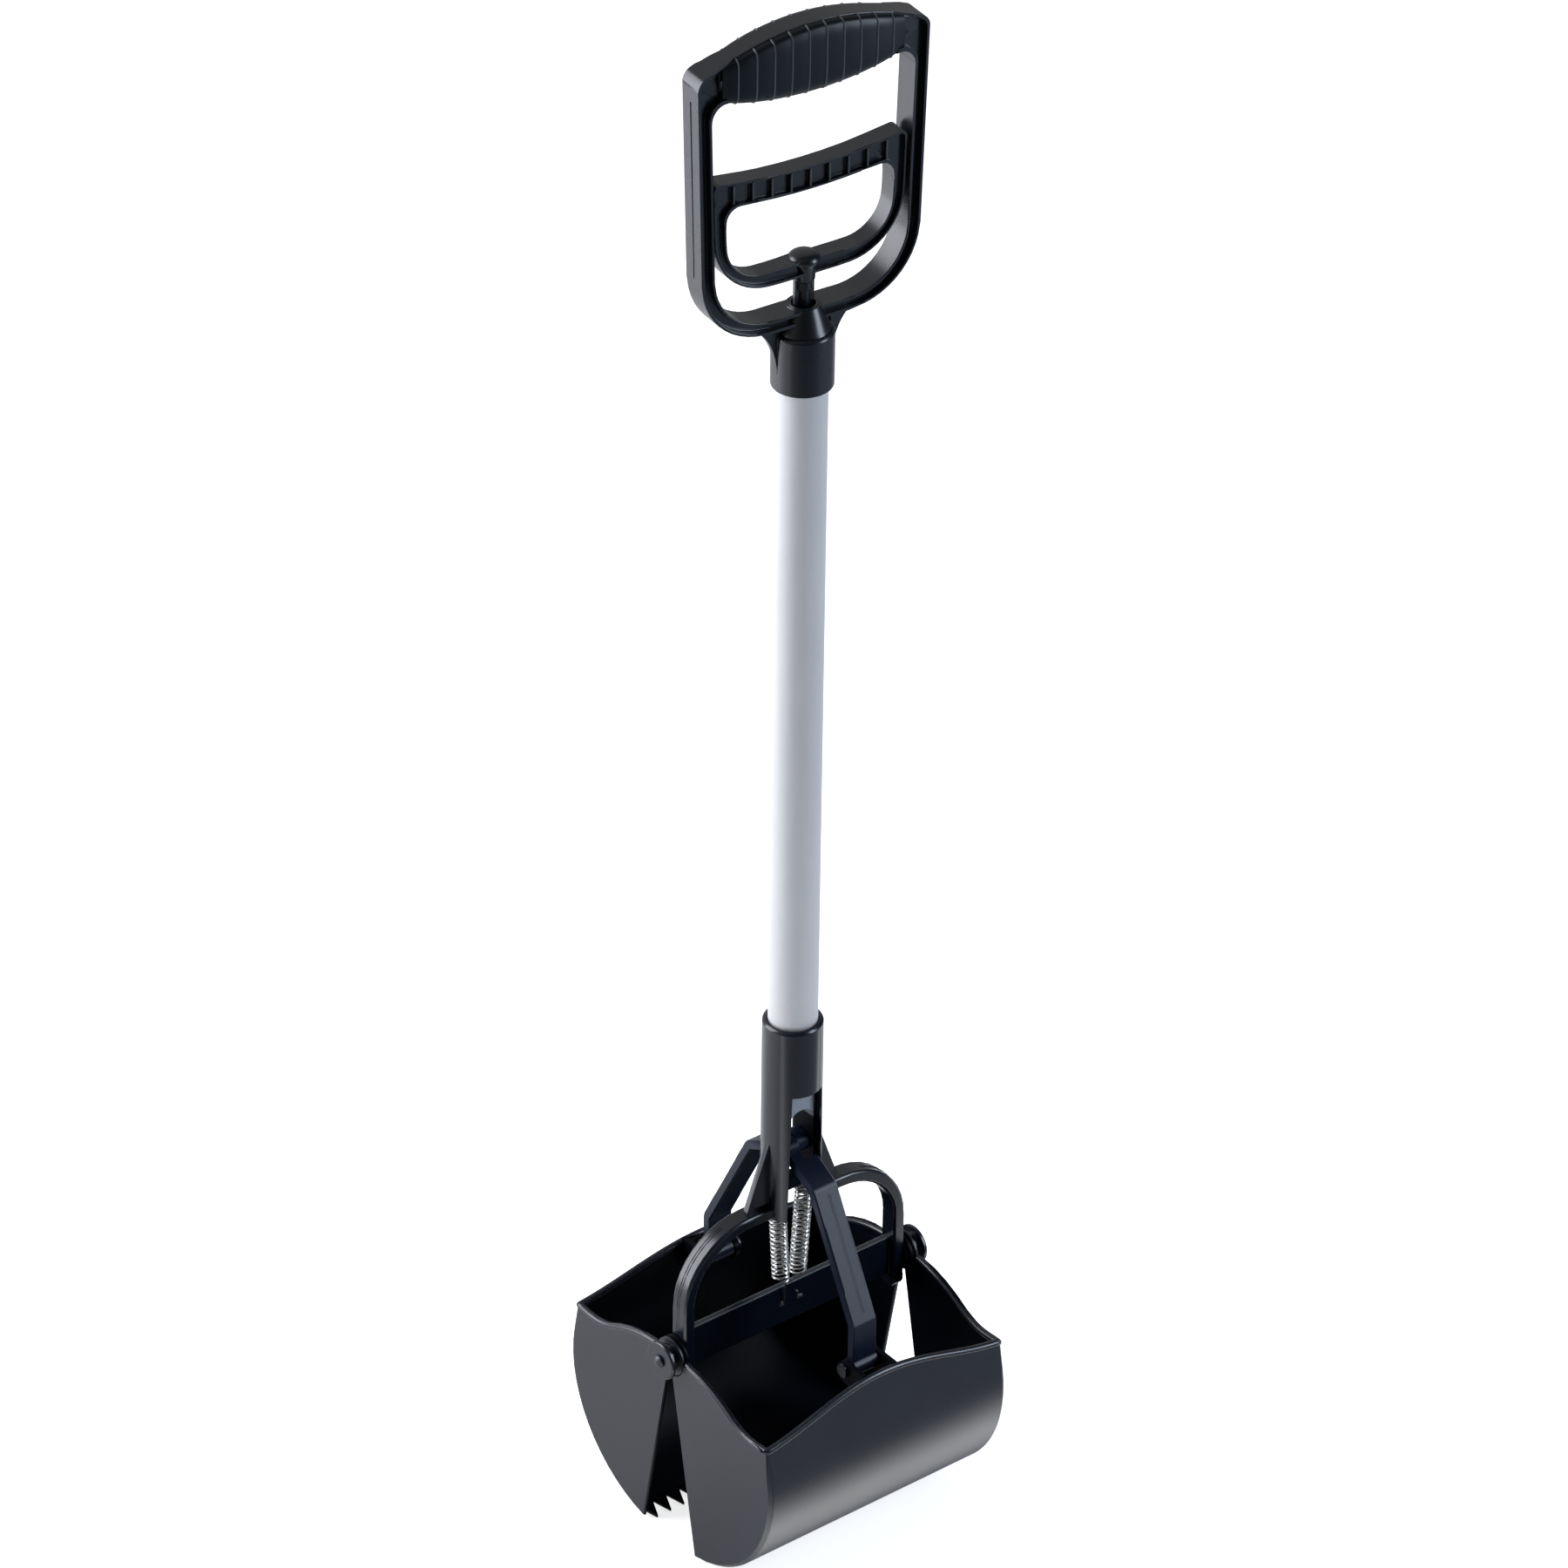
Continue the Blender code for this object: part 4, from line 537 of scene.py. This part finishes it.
def shown(name, mesh, surface):
    """An object of this mesh in the scene."""
    mesh.materials.append(surface)
    obj = bpy.data.objects.new(name, mesh)
    bpy.context.scene.collection.objects.link(obj)
    return obj


def riding(name, mesh, surface, body):
    """An object of this mesh that rides its body."""
    obj = shown(name, mesh, surface)
    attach(obj, body)


def line(name, path, radius, sides, surface, body):
    """A round line along a path, riding its body."""
    riding(name, tube_mesh(name, path, radius, sides), surface, body)


def arch_lines(surface):
    """The parting lines over both arches and down their legs."""
    for side, word in ((-1, "left"), (1, "right")):
        centre = Vector((side * (ARCH_SIDE - ARCH_RADIUS), 0.0, HINGE_HEIGHT + ARCH_CENTRE))
        for k, y in enumerate(ARCH_LINES):
            shift = Vector((0.0, side * y, 0.0))
            path = [centre + shift + ARCH_RADIUS * Vector((side * math.sin(a), 0.0, math.cos(a)))
                    for a in ARCH_LINE_ANGLES]
            path.append(Vector((side * ARCH_SIDE, side * y, HINGE_HEIGHT + ARCH_LINE_FOOT)))
            name = "arch_line_%s_%d" % (word, k + 1)
            line(name, path, LINE_RADIUS, ARCH_LINE_SIDES, surface, "frame")


def grip_ring(x, rise):
    """Points round the grip's section at x, from its back round by its top."""
    taper = 1 - GRIP_TAPER * (x / GRIP_HALF) ** 4
    low = WINDOW_TOP + WINDOW_LIFT - WINDOW_SAG * (1 - (x / WINDOW_HALF) ** 2) - GRIP_HANG
    high = crown_height(x) + shoulder_lift(x) - GRIP_SINK - GRIP_END_SINK * (x / GRIP_HALF) ** 6
    ring = []
    for k in range(GRIP_SIDES):
        turn = 2 * math.pi * k / GRIP_SIDES
        square = GRIP_SQUARE_TOP if math.sin(turn) > 0 else GRIP_SQUARE
        out = math.copysign(abs(math.cos(turn)) ** square, math.cos(turn))
        up = math.copysign(abs(math.sin(turn)) ** square, math.sin(turn))
        deep = out * (GRIP_HALF_DEPTH * taper + rise * abs(out))
        ring.append(handle_place() @ Vector((x, deep, (high + low) / 2 + up * (high - low) / 2)))
    return ring


def revolve(name, profile, surface, body):
    """A turned form on the handle's axis, from its radii and heights."""
    bm = bmesh.new()
    rings = []
    for radius, height in profile:
        if radius:
            turns = [2 * math.pi * k / TURN_SIDES for k in range(TURN_SIDES)]
            places = [Vector((radius * math.cos(a), radius * math.sin(a), height)) for a in turns]
        else:
            places = [Vector((0.0, 0.0, height))]
        rings.append([bm.verts.new(handle_place() @ place) for place in places])
    for low, high in zip(rings, rings[1:] + rings[:1]):
        for k in range(TURN_SIDES):
            corners = [low[k % len(low)], low[(k + 1) % len(low)],
                       high[(k + 1) % len(high)], high[k % len(high)]]
            corners = [vert for i, vert in enumerate(corners) if vert not in corners[:i]]
            if len(corners) > 2:
                bm.faces.new(corners)
    bmesh.ops.recalc_face_normals(bm, faces=bm.faces)
    riding(name, smooth_mesh(name, bm), surface, body)


def grip(surface, painted_highlight):
    """The bulging grip, slightly crowned between its thin ribs."""
    pitch = 2 * GRIP_HALF * GRIP_RIB_SHARE / (GRIP_RIBS - 1)
    ribs = [pitch * (i - (GRIP_RIBS - 1) / 2) for i in range(GRIP_RIBS)]
    stations = [(-GRIP_HALF, 0.0)]
    for x in ribs:
        stations.append((x, 0.0))
        if x < ribs[-1]:
            stations += [(x + pitch * share, GRIP_CROWN * math.sin(math.pi * share))
                         for share in (0.25, 0.5, 0.75)]
    stations.append((GRIP_HALF, 0.0))
    bm = bmesh.new()
    rings = [[bm.verts.new(point) for point in grip_ring(x, rise)] for x, rise in stations]
    for first, second in zip(rings, rings[1:]):
        for k in range(GRIP_SIDES):
            bm.faces.new((first[k], first[(k + 1) % GRIP_SIDES], second[(k + 1) % GRIP_SIDES], second[k]))
    bm.faces.new(list(reversed(rings[0])))
    bm.faces.new(rings[-1])
    bmesh.ops.recalc_face_normals(bm, faces=bm.faces)
    riding("grip", smooth_mesh("grip", bm), surface, "frame")
    reach = round(GRIP_SIDES * GRIP_RIB_WRAP)
    # The ribs are raised lines in the lighter material: a painted highlight
    for i, x in enumerate(ribs):
        ring = grip_ring(x, 0.0)
        for word, middle in (("back", 0), ("front", GRIP_SIDES // 2)):
            path = [ring[(middle + k) % GRIP_SIDES] for k in range(-reach, reach + 1)]
            name = "grip_rib_%s_%d" % (word, i + 1)
            line(name, path, GRIP_RIB_RADIUS, HIGHLIGHT_SIDES, painted_highlight, "frame")


def highlight_lines(painted_highlight):
    """Raised lines along the crests of the finger bar's ribs and the crossbar's upper edges, lighter than the
    plastic: a painted highlight.
    """
    turn = handle_place()
    for i in range(PULL_RIBS):
        x = PULL_RIB_REACH * (2 * i / (PULL_RIBS - 1) - 1)
        top = PULL_TOP + PULL_RISE * (x / PULL_HALF_TOP) ** 2
        for word, y in (("front", -PULL_RIB_DEEP), ("back", PULL_RIB_DEEP)):
            path = [turn @ Vector((x, y, top - PULL_BAR + PULL_RIB_INSET)),
                    turn @ Vector((x, y, top - PULL_RIB_INSET))]
            name = "pull_rib_%s_%d" % (word, i + 1)
            line(name, path, PULL_RIB_RADIUS, HIGHLIGHT_SIDES, painted_highlight, "puller")
    high = HINGE_HEIGHT + CROSSBAR_TOP
    front = -CROSSBAR_HALF + CROSSBAR_INSET
    for word, y, down, radius in (("front", front, CROSSBAR_INSET, CROSSBAR_LINE),
                                  ("back", -front, CROSSBAR_INSET, CROSSBAR_LINE),
                                  ("low", front, CROSSBAR_FACE, CROSSBAR_LOW_LINE)):
        path = [(-CROSSBAR_REACH, y, high - down), (CROSSBAR_REACH, y, high - down)]
        line("crossbar_edge_" + word, path, radius, HIGHLIGHT_SIDES, painted_highlight, "frame")


def slider_foot(surface):
    """The crosshead's narrow foot between the springs' hooks."""
    bm = bmesh.new()
    place = Matrix.Translation((0.0, 0.0, HINGE_HEIGHT + FOOT_HEIGHT))
    bmesh.ops.create_cube(bm, size=1.0, matrix=place @ Matrix.Diagonal((*FOOT_SIZE, 1.0)))
    bmesh.ops.bevel(bm, geom=bm.edges, offset=FOOT_EDGE, segments=2, affect="EDGES")
    riding("slider_foot", smooth_mesh("slider_foot", bm), surface, "puller")


def ridge(name, start, end, out, width, surface, body, slot):
    """A fine raised line along a face, from start to end, on the side that out points to."""
    start, end, out = Vector(start), Vector(end), Vector(out).normalized()
    along = (end - start).normalized()
    across = along.cross(out)
    bm = bmesh.new()
    place = Matrix((along, across, out)).transposed().to_4x4()
    place.translation = (start + end) / 2
    size = Matrix.Diagonal(((end - start).length, width, RIDGE_HEIGHT, 1.0))
    bmesh.ops.create_cube(bm, size=1.0, matrix=place @ size)
    riding(name, smooth_mesh(name, bm), surface, body)


def parting_lines(handle, links):
    """The mould's parting lines on the handle's outer sides and on the links' outer faces."""
    turn = handle_place()
    for side, word in ((-1, "left"), (1, "right")):
        places = [turn @ Vector((side * (SIDE_FOOT + (SIDE_TOP - SIDE_FOOT) * share), 0.0,
                                 SIDE_LOW + (SIDE_HIGH - SIDE_LOW) * share)) for share in (0.0, 1.0)]
        out = turn.to_3x3() @ Vector((side, 0.0, 0.0))
        ridge("handle_line_" + word, *places, out, SIDE_LINE_WIDTH, handle, "frame", "handle_plastic")
        shoulder = Vector((0.0, side * LINK_SHOULDER[0], LINK_PIN_HEIGHT + LINK_SHOULDER[1]))
        knee = Vector((0.0, side * LINK_KNEE[0], LINK_PIN_HEIGHT + LINK_KNEE[1]))
        along = (knee - shoulder).normalized()
        out = Vector((0.0, -along.z * side, along.y * side))
        lift = out * LINK_HALF_THICK
        body = "rear_link" if side > 0 else "front_link"
        for k, x in enumerate(LINK_LINES):
            shift = Vector((-side * x, 0.0, 0.0))
            start = shoulder + along * LINK_LINE_START + lift + shift
            end = knee - along * LINK_LINE_END + lift + shift
            name = "%s_line_%d" % (body, k + 1)
            ridge(name, start, end, out, LINK_LINE_WIDTH, links, body, "yoke_plastic")


def refined(name, width, surface):
    """A CAD node's form with its flat parts joined, its edges broken and its curves smooth."""
    bm = bmesh.new()
    bm.from_mesh(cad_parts[name].data)
    bmesh.ops.remove_doubles(bm, verts=bm.verts, dist=WELD)
    if name == "handle_frame":
        pare_grip(bm)
        inverse = handle_place().inverted()
        upper = [vert for vert in bm.verts if (inverse @ vert.co).z > GRIP_FOOT]
        bmesh.ops.remove_doubles(bm, verts=upper, dist=PARED_WELD)
    if name in ("near_jaw", "far_jaw"):
        pare_rim(bm, jaw_place(name))
    bmesh.ops.dissolve_limit(bm, angle_limit=FLAT, verts=bm.verts, edges=bm.edges)
    if name in ROUND_PIECES:
        curved = [edge for edge in bm.edges if edge.is_manifold and edge.calc_length() > CURVE_LEAST
                  and CURVE_LOW < edge.calc_face_angle(0.0) < CREASE
                  and (name != "handle_frame" or
                       max(face.calc_area() for face in edge.link_faces) < CURVE_REACH * edge.calc_length())]
        bmesh.ops.bevel(bm, geom=curved, offset=CURVE_SHARE, offset_type="PERCENT", segments=1,
                        affect="EDGES", clamp_overlap=False)
    weight = bm.edges.layers.float.new("bevel_weight_edge")
    for edge in bm.edges:
        at_slot = all(abs(vert.co.z - SLOT_TOP) < SLOT_REACH for vert in edge.verts)
        if at_slot and name == "yoke_housing":
            continue
        if edge.is_manifold and edge.calc_face_angle(0.0) > CREASE and has_room(edge, width):
            edge[weight] = 1.0
    mesh = bpy.data.meshes.new("fine_" + name)
    bm.to_mesh(mesh)
    bm.free()
    obj = shown("fine_" + name, mesh, surface)
    break_edges(obj, width)
    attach(obj, body_of_node(name))
    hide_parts(name)


def break_edges(obj, width):
    """Rounds the weighted edges."""
    step = obj.modifiers.new("edges", "BEVEL")
    step.limit_method = "WEIGHT"
    step.width = width
    step.segments = 2
    step.use_clamp_overlap = False
    step.miter_outer = "MITER_ARC"
    seen = obj.evaluated_get(bpy.context.evaluated_depsgraph_get())
    mesh = bpy.data.meshes.new_from_object(seen)
    obj.modifiers.clear()
    old = obj.data
    obj.data = mesh
    bpy.data.meshes.remove(old)
    mesh.name = obj.name
    smooth_normals(mesh)


def smooth_normals(mesh):
    """Corner normals from the neighbours within the smoothing angle, so that large faces look flat."""
    mesh.shade_smooth()
    normals = [face.normal.copy() for face in mesh.polygons]
    areas = [face.area ** 2 for face in mesh.polygons]
    around = [[] for _ in mesh.vertices]
    for face in mesh.polygons:
        for vert in face.vertices:
            around[vert].append(face.index)
    limit = math.cos(SMOOTH)
    corners = []
    for face in mesh.polygons:
        own = normals[face.index]
        for vert in face.vertices:
            total = own * areas[face.index]
            for other in around[vert]:
                if other != face.index and own.dot(normals[other]) > limit:
                    total = total + normals[other] * areas[other]
            corners.append(total.normalized() if total.length > 0 else own)
    mesh.normals_split_custom_set(corners)


def tube_mesh(name, points, radius, sides):
    """A closed round wire through the points, with its ends capped."""
    bm = bmesh.new()
    points = [Vector(point) for point in points]
    across = None
    rings = []
    for i, point in enumerate(points):
        along = (points[min(i + 1, len(points) - 1)] - points[max(i - 1, 0)]).normalized()
        if across is None:
            across = along.orthogonal()
        across = (across - along * across.dot(along)).normalized()
        other = along.cross(across)
        turns = [2 * math.pi * k / sides for k in range(sides)]
        rings.append([bm.verts.new(point + radius * (math.cos(a) * across + math.sin(a) * other))
                      for a in turns])
    for low, high in zip(rings, rings[1:]):
        for k in range(sides):
            bm.faces.new((low[k], low[(k + 1) % sides], high[(k + 1) % sides], high[k]))
    bm.faces.new(list(reversed(rings[0])))
    bm.faces.new(rings[-1])
    return smooth_mesh(name, bm)


def spring(name, side, surface):
    """An extension spring of fine round wire, hooked in the crossbar and over the crosshead's pin."""
    foot = HINGE_HEIGHT + COIL_FOOT
    pin = HINGE_HEIGHT + SPRING_PIN
    hole = HINGE_HEIGHT + HOOK_HEIGHT
    over = SPRING_PIN_RADIUS + WIRE_RADIUS + COIL_GAP
    stand = CROSSBAR_HALF + WIRE_RADIUS + COIL_GAP
    step = 1.5 * WIRE_RADIUS
    path = [(0.0, -stand - step, hole + 3 * step), (0.0, -stand - step / 2, hole + step),
            (0.0, -stand + step, hole), (0.0, stand - step, hole), (0.0, stand, hole + step),
            (0.0, stand, hole + 4 * step)]
    lean_x, lean_y = COIL_LEAN
    count = COIL_TURNS * COIL_POINTS
    for i in range(count + 1):
        turn = math.pi / 2 + 2 * math.pi * i / COIL_POINTS
        share = i / count
        path.append((COIL_RADIUS * math.cos(turn) + lean_x * share,
                     COIL_RADIUS * math.sin(turn) + lean_y * share, foot + COIL_PITCH * i / COIL_POINTS))
    top = path[-1]
    path.append((lean_x / 2, top[1] - 2 * step, top[2] + 2 * step))
    path.append((0.0, over, pin - 3 * step))
    for i in range(HOOK_POINTS + 1):
        turn = math.pi * i / HOOK_POINTS
        path.append((0.0, over * math.cos(turn), pin + over * math.sin(turn)))
    path.append((0.0, -over, pin - 2 * step))
    path = [(side * (SPRING_OFFSET + x), side * y, z) for x, y, z in path]
    obj = shown("fine_" + name, tube_mesh("fine_" + name, path, WIRE_RADIUS, WIRE_SIDES), surface)
    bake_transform(obj)
    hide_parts(name)


def dress():
    """Every CAD node's material, and the refined forms that stand for the nodes."""
    handle = plastic("handle_black", (0.003, 0.0045, 0.008), 0.28)
    yoke = plastic("yoke_black", (0.003, 0.0045, 0.009), 0.24)
    jaw = plastic("jaw_black", (0.006, 0.0075, 0.013), 0.34, hollow_shade=True)
    bead = plastic("bead_black", (0.005, 0.0065, 0.012), 0.26)
    links = plastic("link_black", (0.006, 0.009, 0.020), 0.32, gloss=0.25, shade_above=LINK_SHADE_FOOT)
    # Raised lines lighter than the plastic, a painted highlight, for the grip's ribs, the finger bar's ribs
    # and the crossbar's edges
    painted_highlight = plastic("highlight_black", (0.06, 0.07, 0.08), 0.35)
    ribbed = plastic("grip_black", (0.002, 0.004, 0.006), 0.36, grain=1800.0, gloss=0.25)
    shoe = slider()
    aluminium = metal("satin_aluminium", (0.78, 0.78, 0.78), 0.64, (1.0, 1.0, 0.02), metallic=0.6, drawn=0.85)
    steel = metal("bright_steel", (0.60, 0.60, 0.585), 0.26)
    dark = metal("dark_steel", (0.06, 0.06, 0.065), 0.4)
    looks = {"handle_frame": handle, "pull_grip": handle, "tube": aluminium, "yoke_housing": yoke,
             "crosshead": shoe, "link_pin": dark, "spring_pin": dark, "near_jaw": jaw, "far_jaw": jaw,
             "front_link": links, "rear_link": links, "pivot_bush_left": yoke, "pivot_bush_right": yoke,
             "near_link_pin": yoke, "far_link_pin": yoke, "hinge_rivet_left": dark, "hinge_rivet_right": dark}
    for name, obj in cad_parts.items():
        look = looks.get(name, steel)
        obj.data.materials.clear()
        obj.data.materials.append(look)
        if name not in ("front_spring", "rear_spring"):
            refined(name, EDGE_WIDTHS.get(name, EDGE_WIDTH), look)
    grip(ribbed, painted_highlight)
    highlight_lines(painted_highlight)
    slider_foot(shoe)
    revolve("boss", BOSS, handle, "puller")
    revolve("neck_cone", CONE, handle, "frame")
    parting_lines(handle, links)
    arch_lines(yoke)
    rim("near_jaw", bead)
    rim("far_jaw", bead)
    spring("front_spring", 1, steel)
    spring("rear_spring", -1, steel)


def floor():
    """A floor that looks white to the camera and keeps the object's shadow.

    Reflections see it dim in front of the object, painted shade for the dark room, with one bright strip that
    glows only for them, painted light. Its colour darkens away to the front right, painted shade that
    reflections see.
    """
    bm = bmesh.new()
    bmesh.ops.create_grid(bm, x_segments=1, y_segments=1, size=FLOOR_HALF)
    mesh = bpy.data.meshes.new("floor")
    bm.to_mesh(mesh)
    bm.free()
    new = Shader("floor_white")
    obj = shown("floor", mesh, new.material)
    obj.location = (0.0, 0.0, -FLOOR_GAP)
    new.surface.inputs["Roughness"].default_value = 1.0
    new.surface.inputs["Specular IOR Level"].default_value = 0.0
    new.surface.inputs["Emission Color"].default_value = (1.0, 1.0, 1.0, 1.0)
    across = new.dot((0.8, -0.6, 0.0))
    ahead = new.dot((0.0, -1.0, 0.0))
    # The floor's colour darkens away to the front right: painted shade that reflections see
    near = new.ramp(new.math("MAXIMUM", across, ahead), FLOOR_DARK, FLOOR_WHITE, kind="SMOOTHSTEP")
    rays = new.node("LightPath").outputs
    plain = new.blend(near, tone([FLOOR_FAR_TONE] * 3), tone([FLOOR_TONE] * 3))
    # Reflections see the ground in front dim: painted shade
    dim = new.math("MULTIPLY", rays["Is Glossy Ray"], new.ramp(ahead, DIM_START, DIM_END))
    new.link(new.blend(dim, plain, tone(DIM_TONE)), "Base Color")
    glossy = new.math("MAXIMUM", rays["Is Glossy Ray"], rays["Is Transmission Ray"])
    seen = new.math("MULTIPLY", rays["Is Camera Ray"], new.between(near, 1.0, FLOOR_FAR_GLOW))
    # A bright strip that glows for reflections only: painted light
    close = new.ramp(ahead, *STRIP_START)
    leaving = new.ramp(ahead, *STRIP_END, 1.0, 0.0)
    strip = new.between(new.math("MULTIPLY", close, leaving), *STRIP_LEVELS)
    mirrored = new.math("MULTIPLY", glossy, new.math("MULTIPLY", near, strip))
    new.link(new.math("MAXIMUM", seen, mirrored), "Emission Strength")


def lamp(name, place, aim, size, power, colour):
    """A rectangular area lamp that the camera doesn't see."""
    data = bpy.data.lights.new(name, "AREA")
    data.color = colour
    data.shape = "RECTANGLE"
    data.size, data.size_y = size
    data.energy = power
    obj = bpy.data.objects.new(name, data)
    bpy.context.scene.collection.objects.link(obj)
    obj.location = place
    obj.visible_camera = False
    obj.rotation_euler = (Vector(aim) - Vector(place)).to_track_quat("-Z", "Y").to_euler()


def lights():
    """The world and the lamps."""
    world = bpy.data.worlds.new("world")
    bpy.context.scene.world = world
    world.use_nodes = True
    nodes = world.node_tree.nodes
    links = world.node_tree.links
    nodes["Background"].inputs["Color"].default_value = (1.0, 1.0, 1.0, 1.0)
    place = nodes.new("ShaderNodeTexCoord")
    along = nodes.new("ShaderNodeVectorMath")
    along.operation = "DOT_PRODUCT"
    along.inputs[1].default_value = WORLD_WAY
    level = nodes.new("ShaderNodeMapRange")
    level.inputs["From Min"].default_value, level.inputs["From Max"].default_value = WORLD_RANGE
    level.inputs["To Min"].default_value, level.inputs["To Max"].default_value = WORLD_LEVELS
    links.new(place.outputs["Generated"], along.inputs[0])
    links.new(along.outputs["Value"], level.inputs["Value"])
    links.new(level.outputs[0], nodes["Background"].inputs["Strength"])
    for values in LAMPS:
        lamp(*values)


camera()
dress()
floor()
lights()
bpy.context.scene.view_settings.view_transform = "Standard"
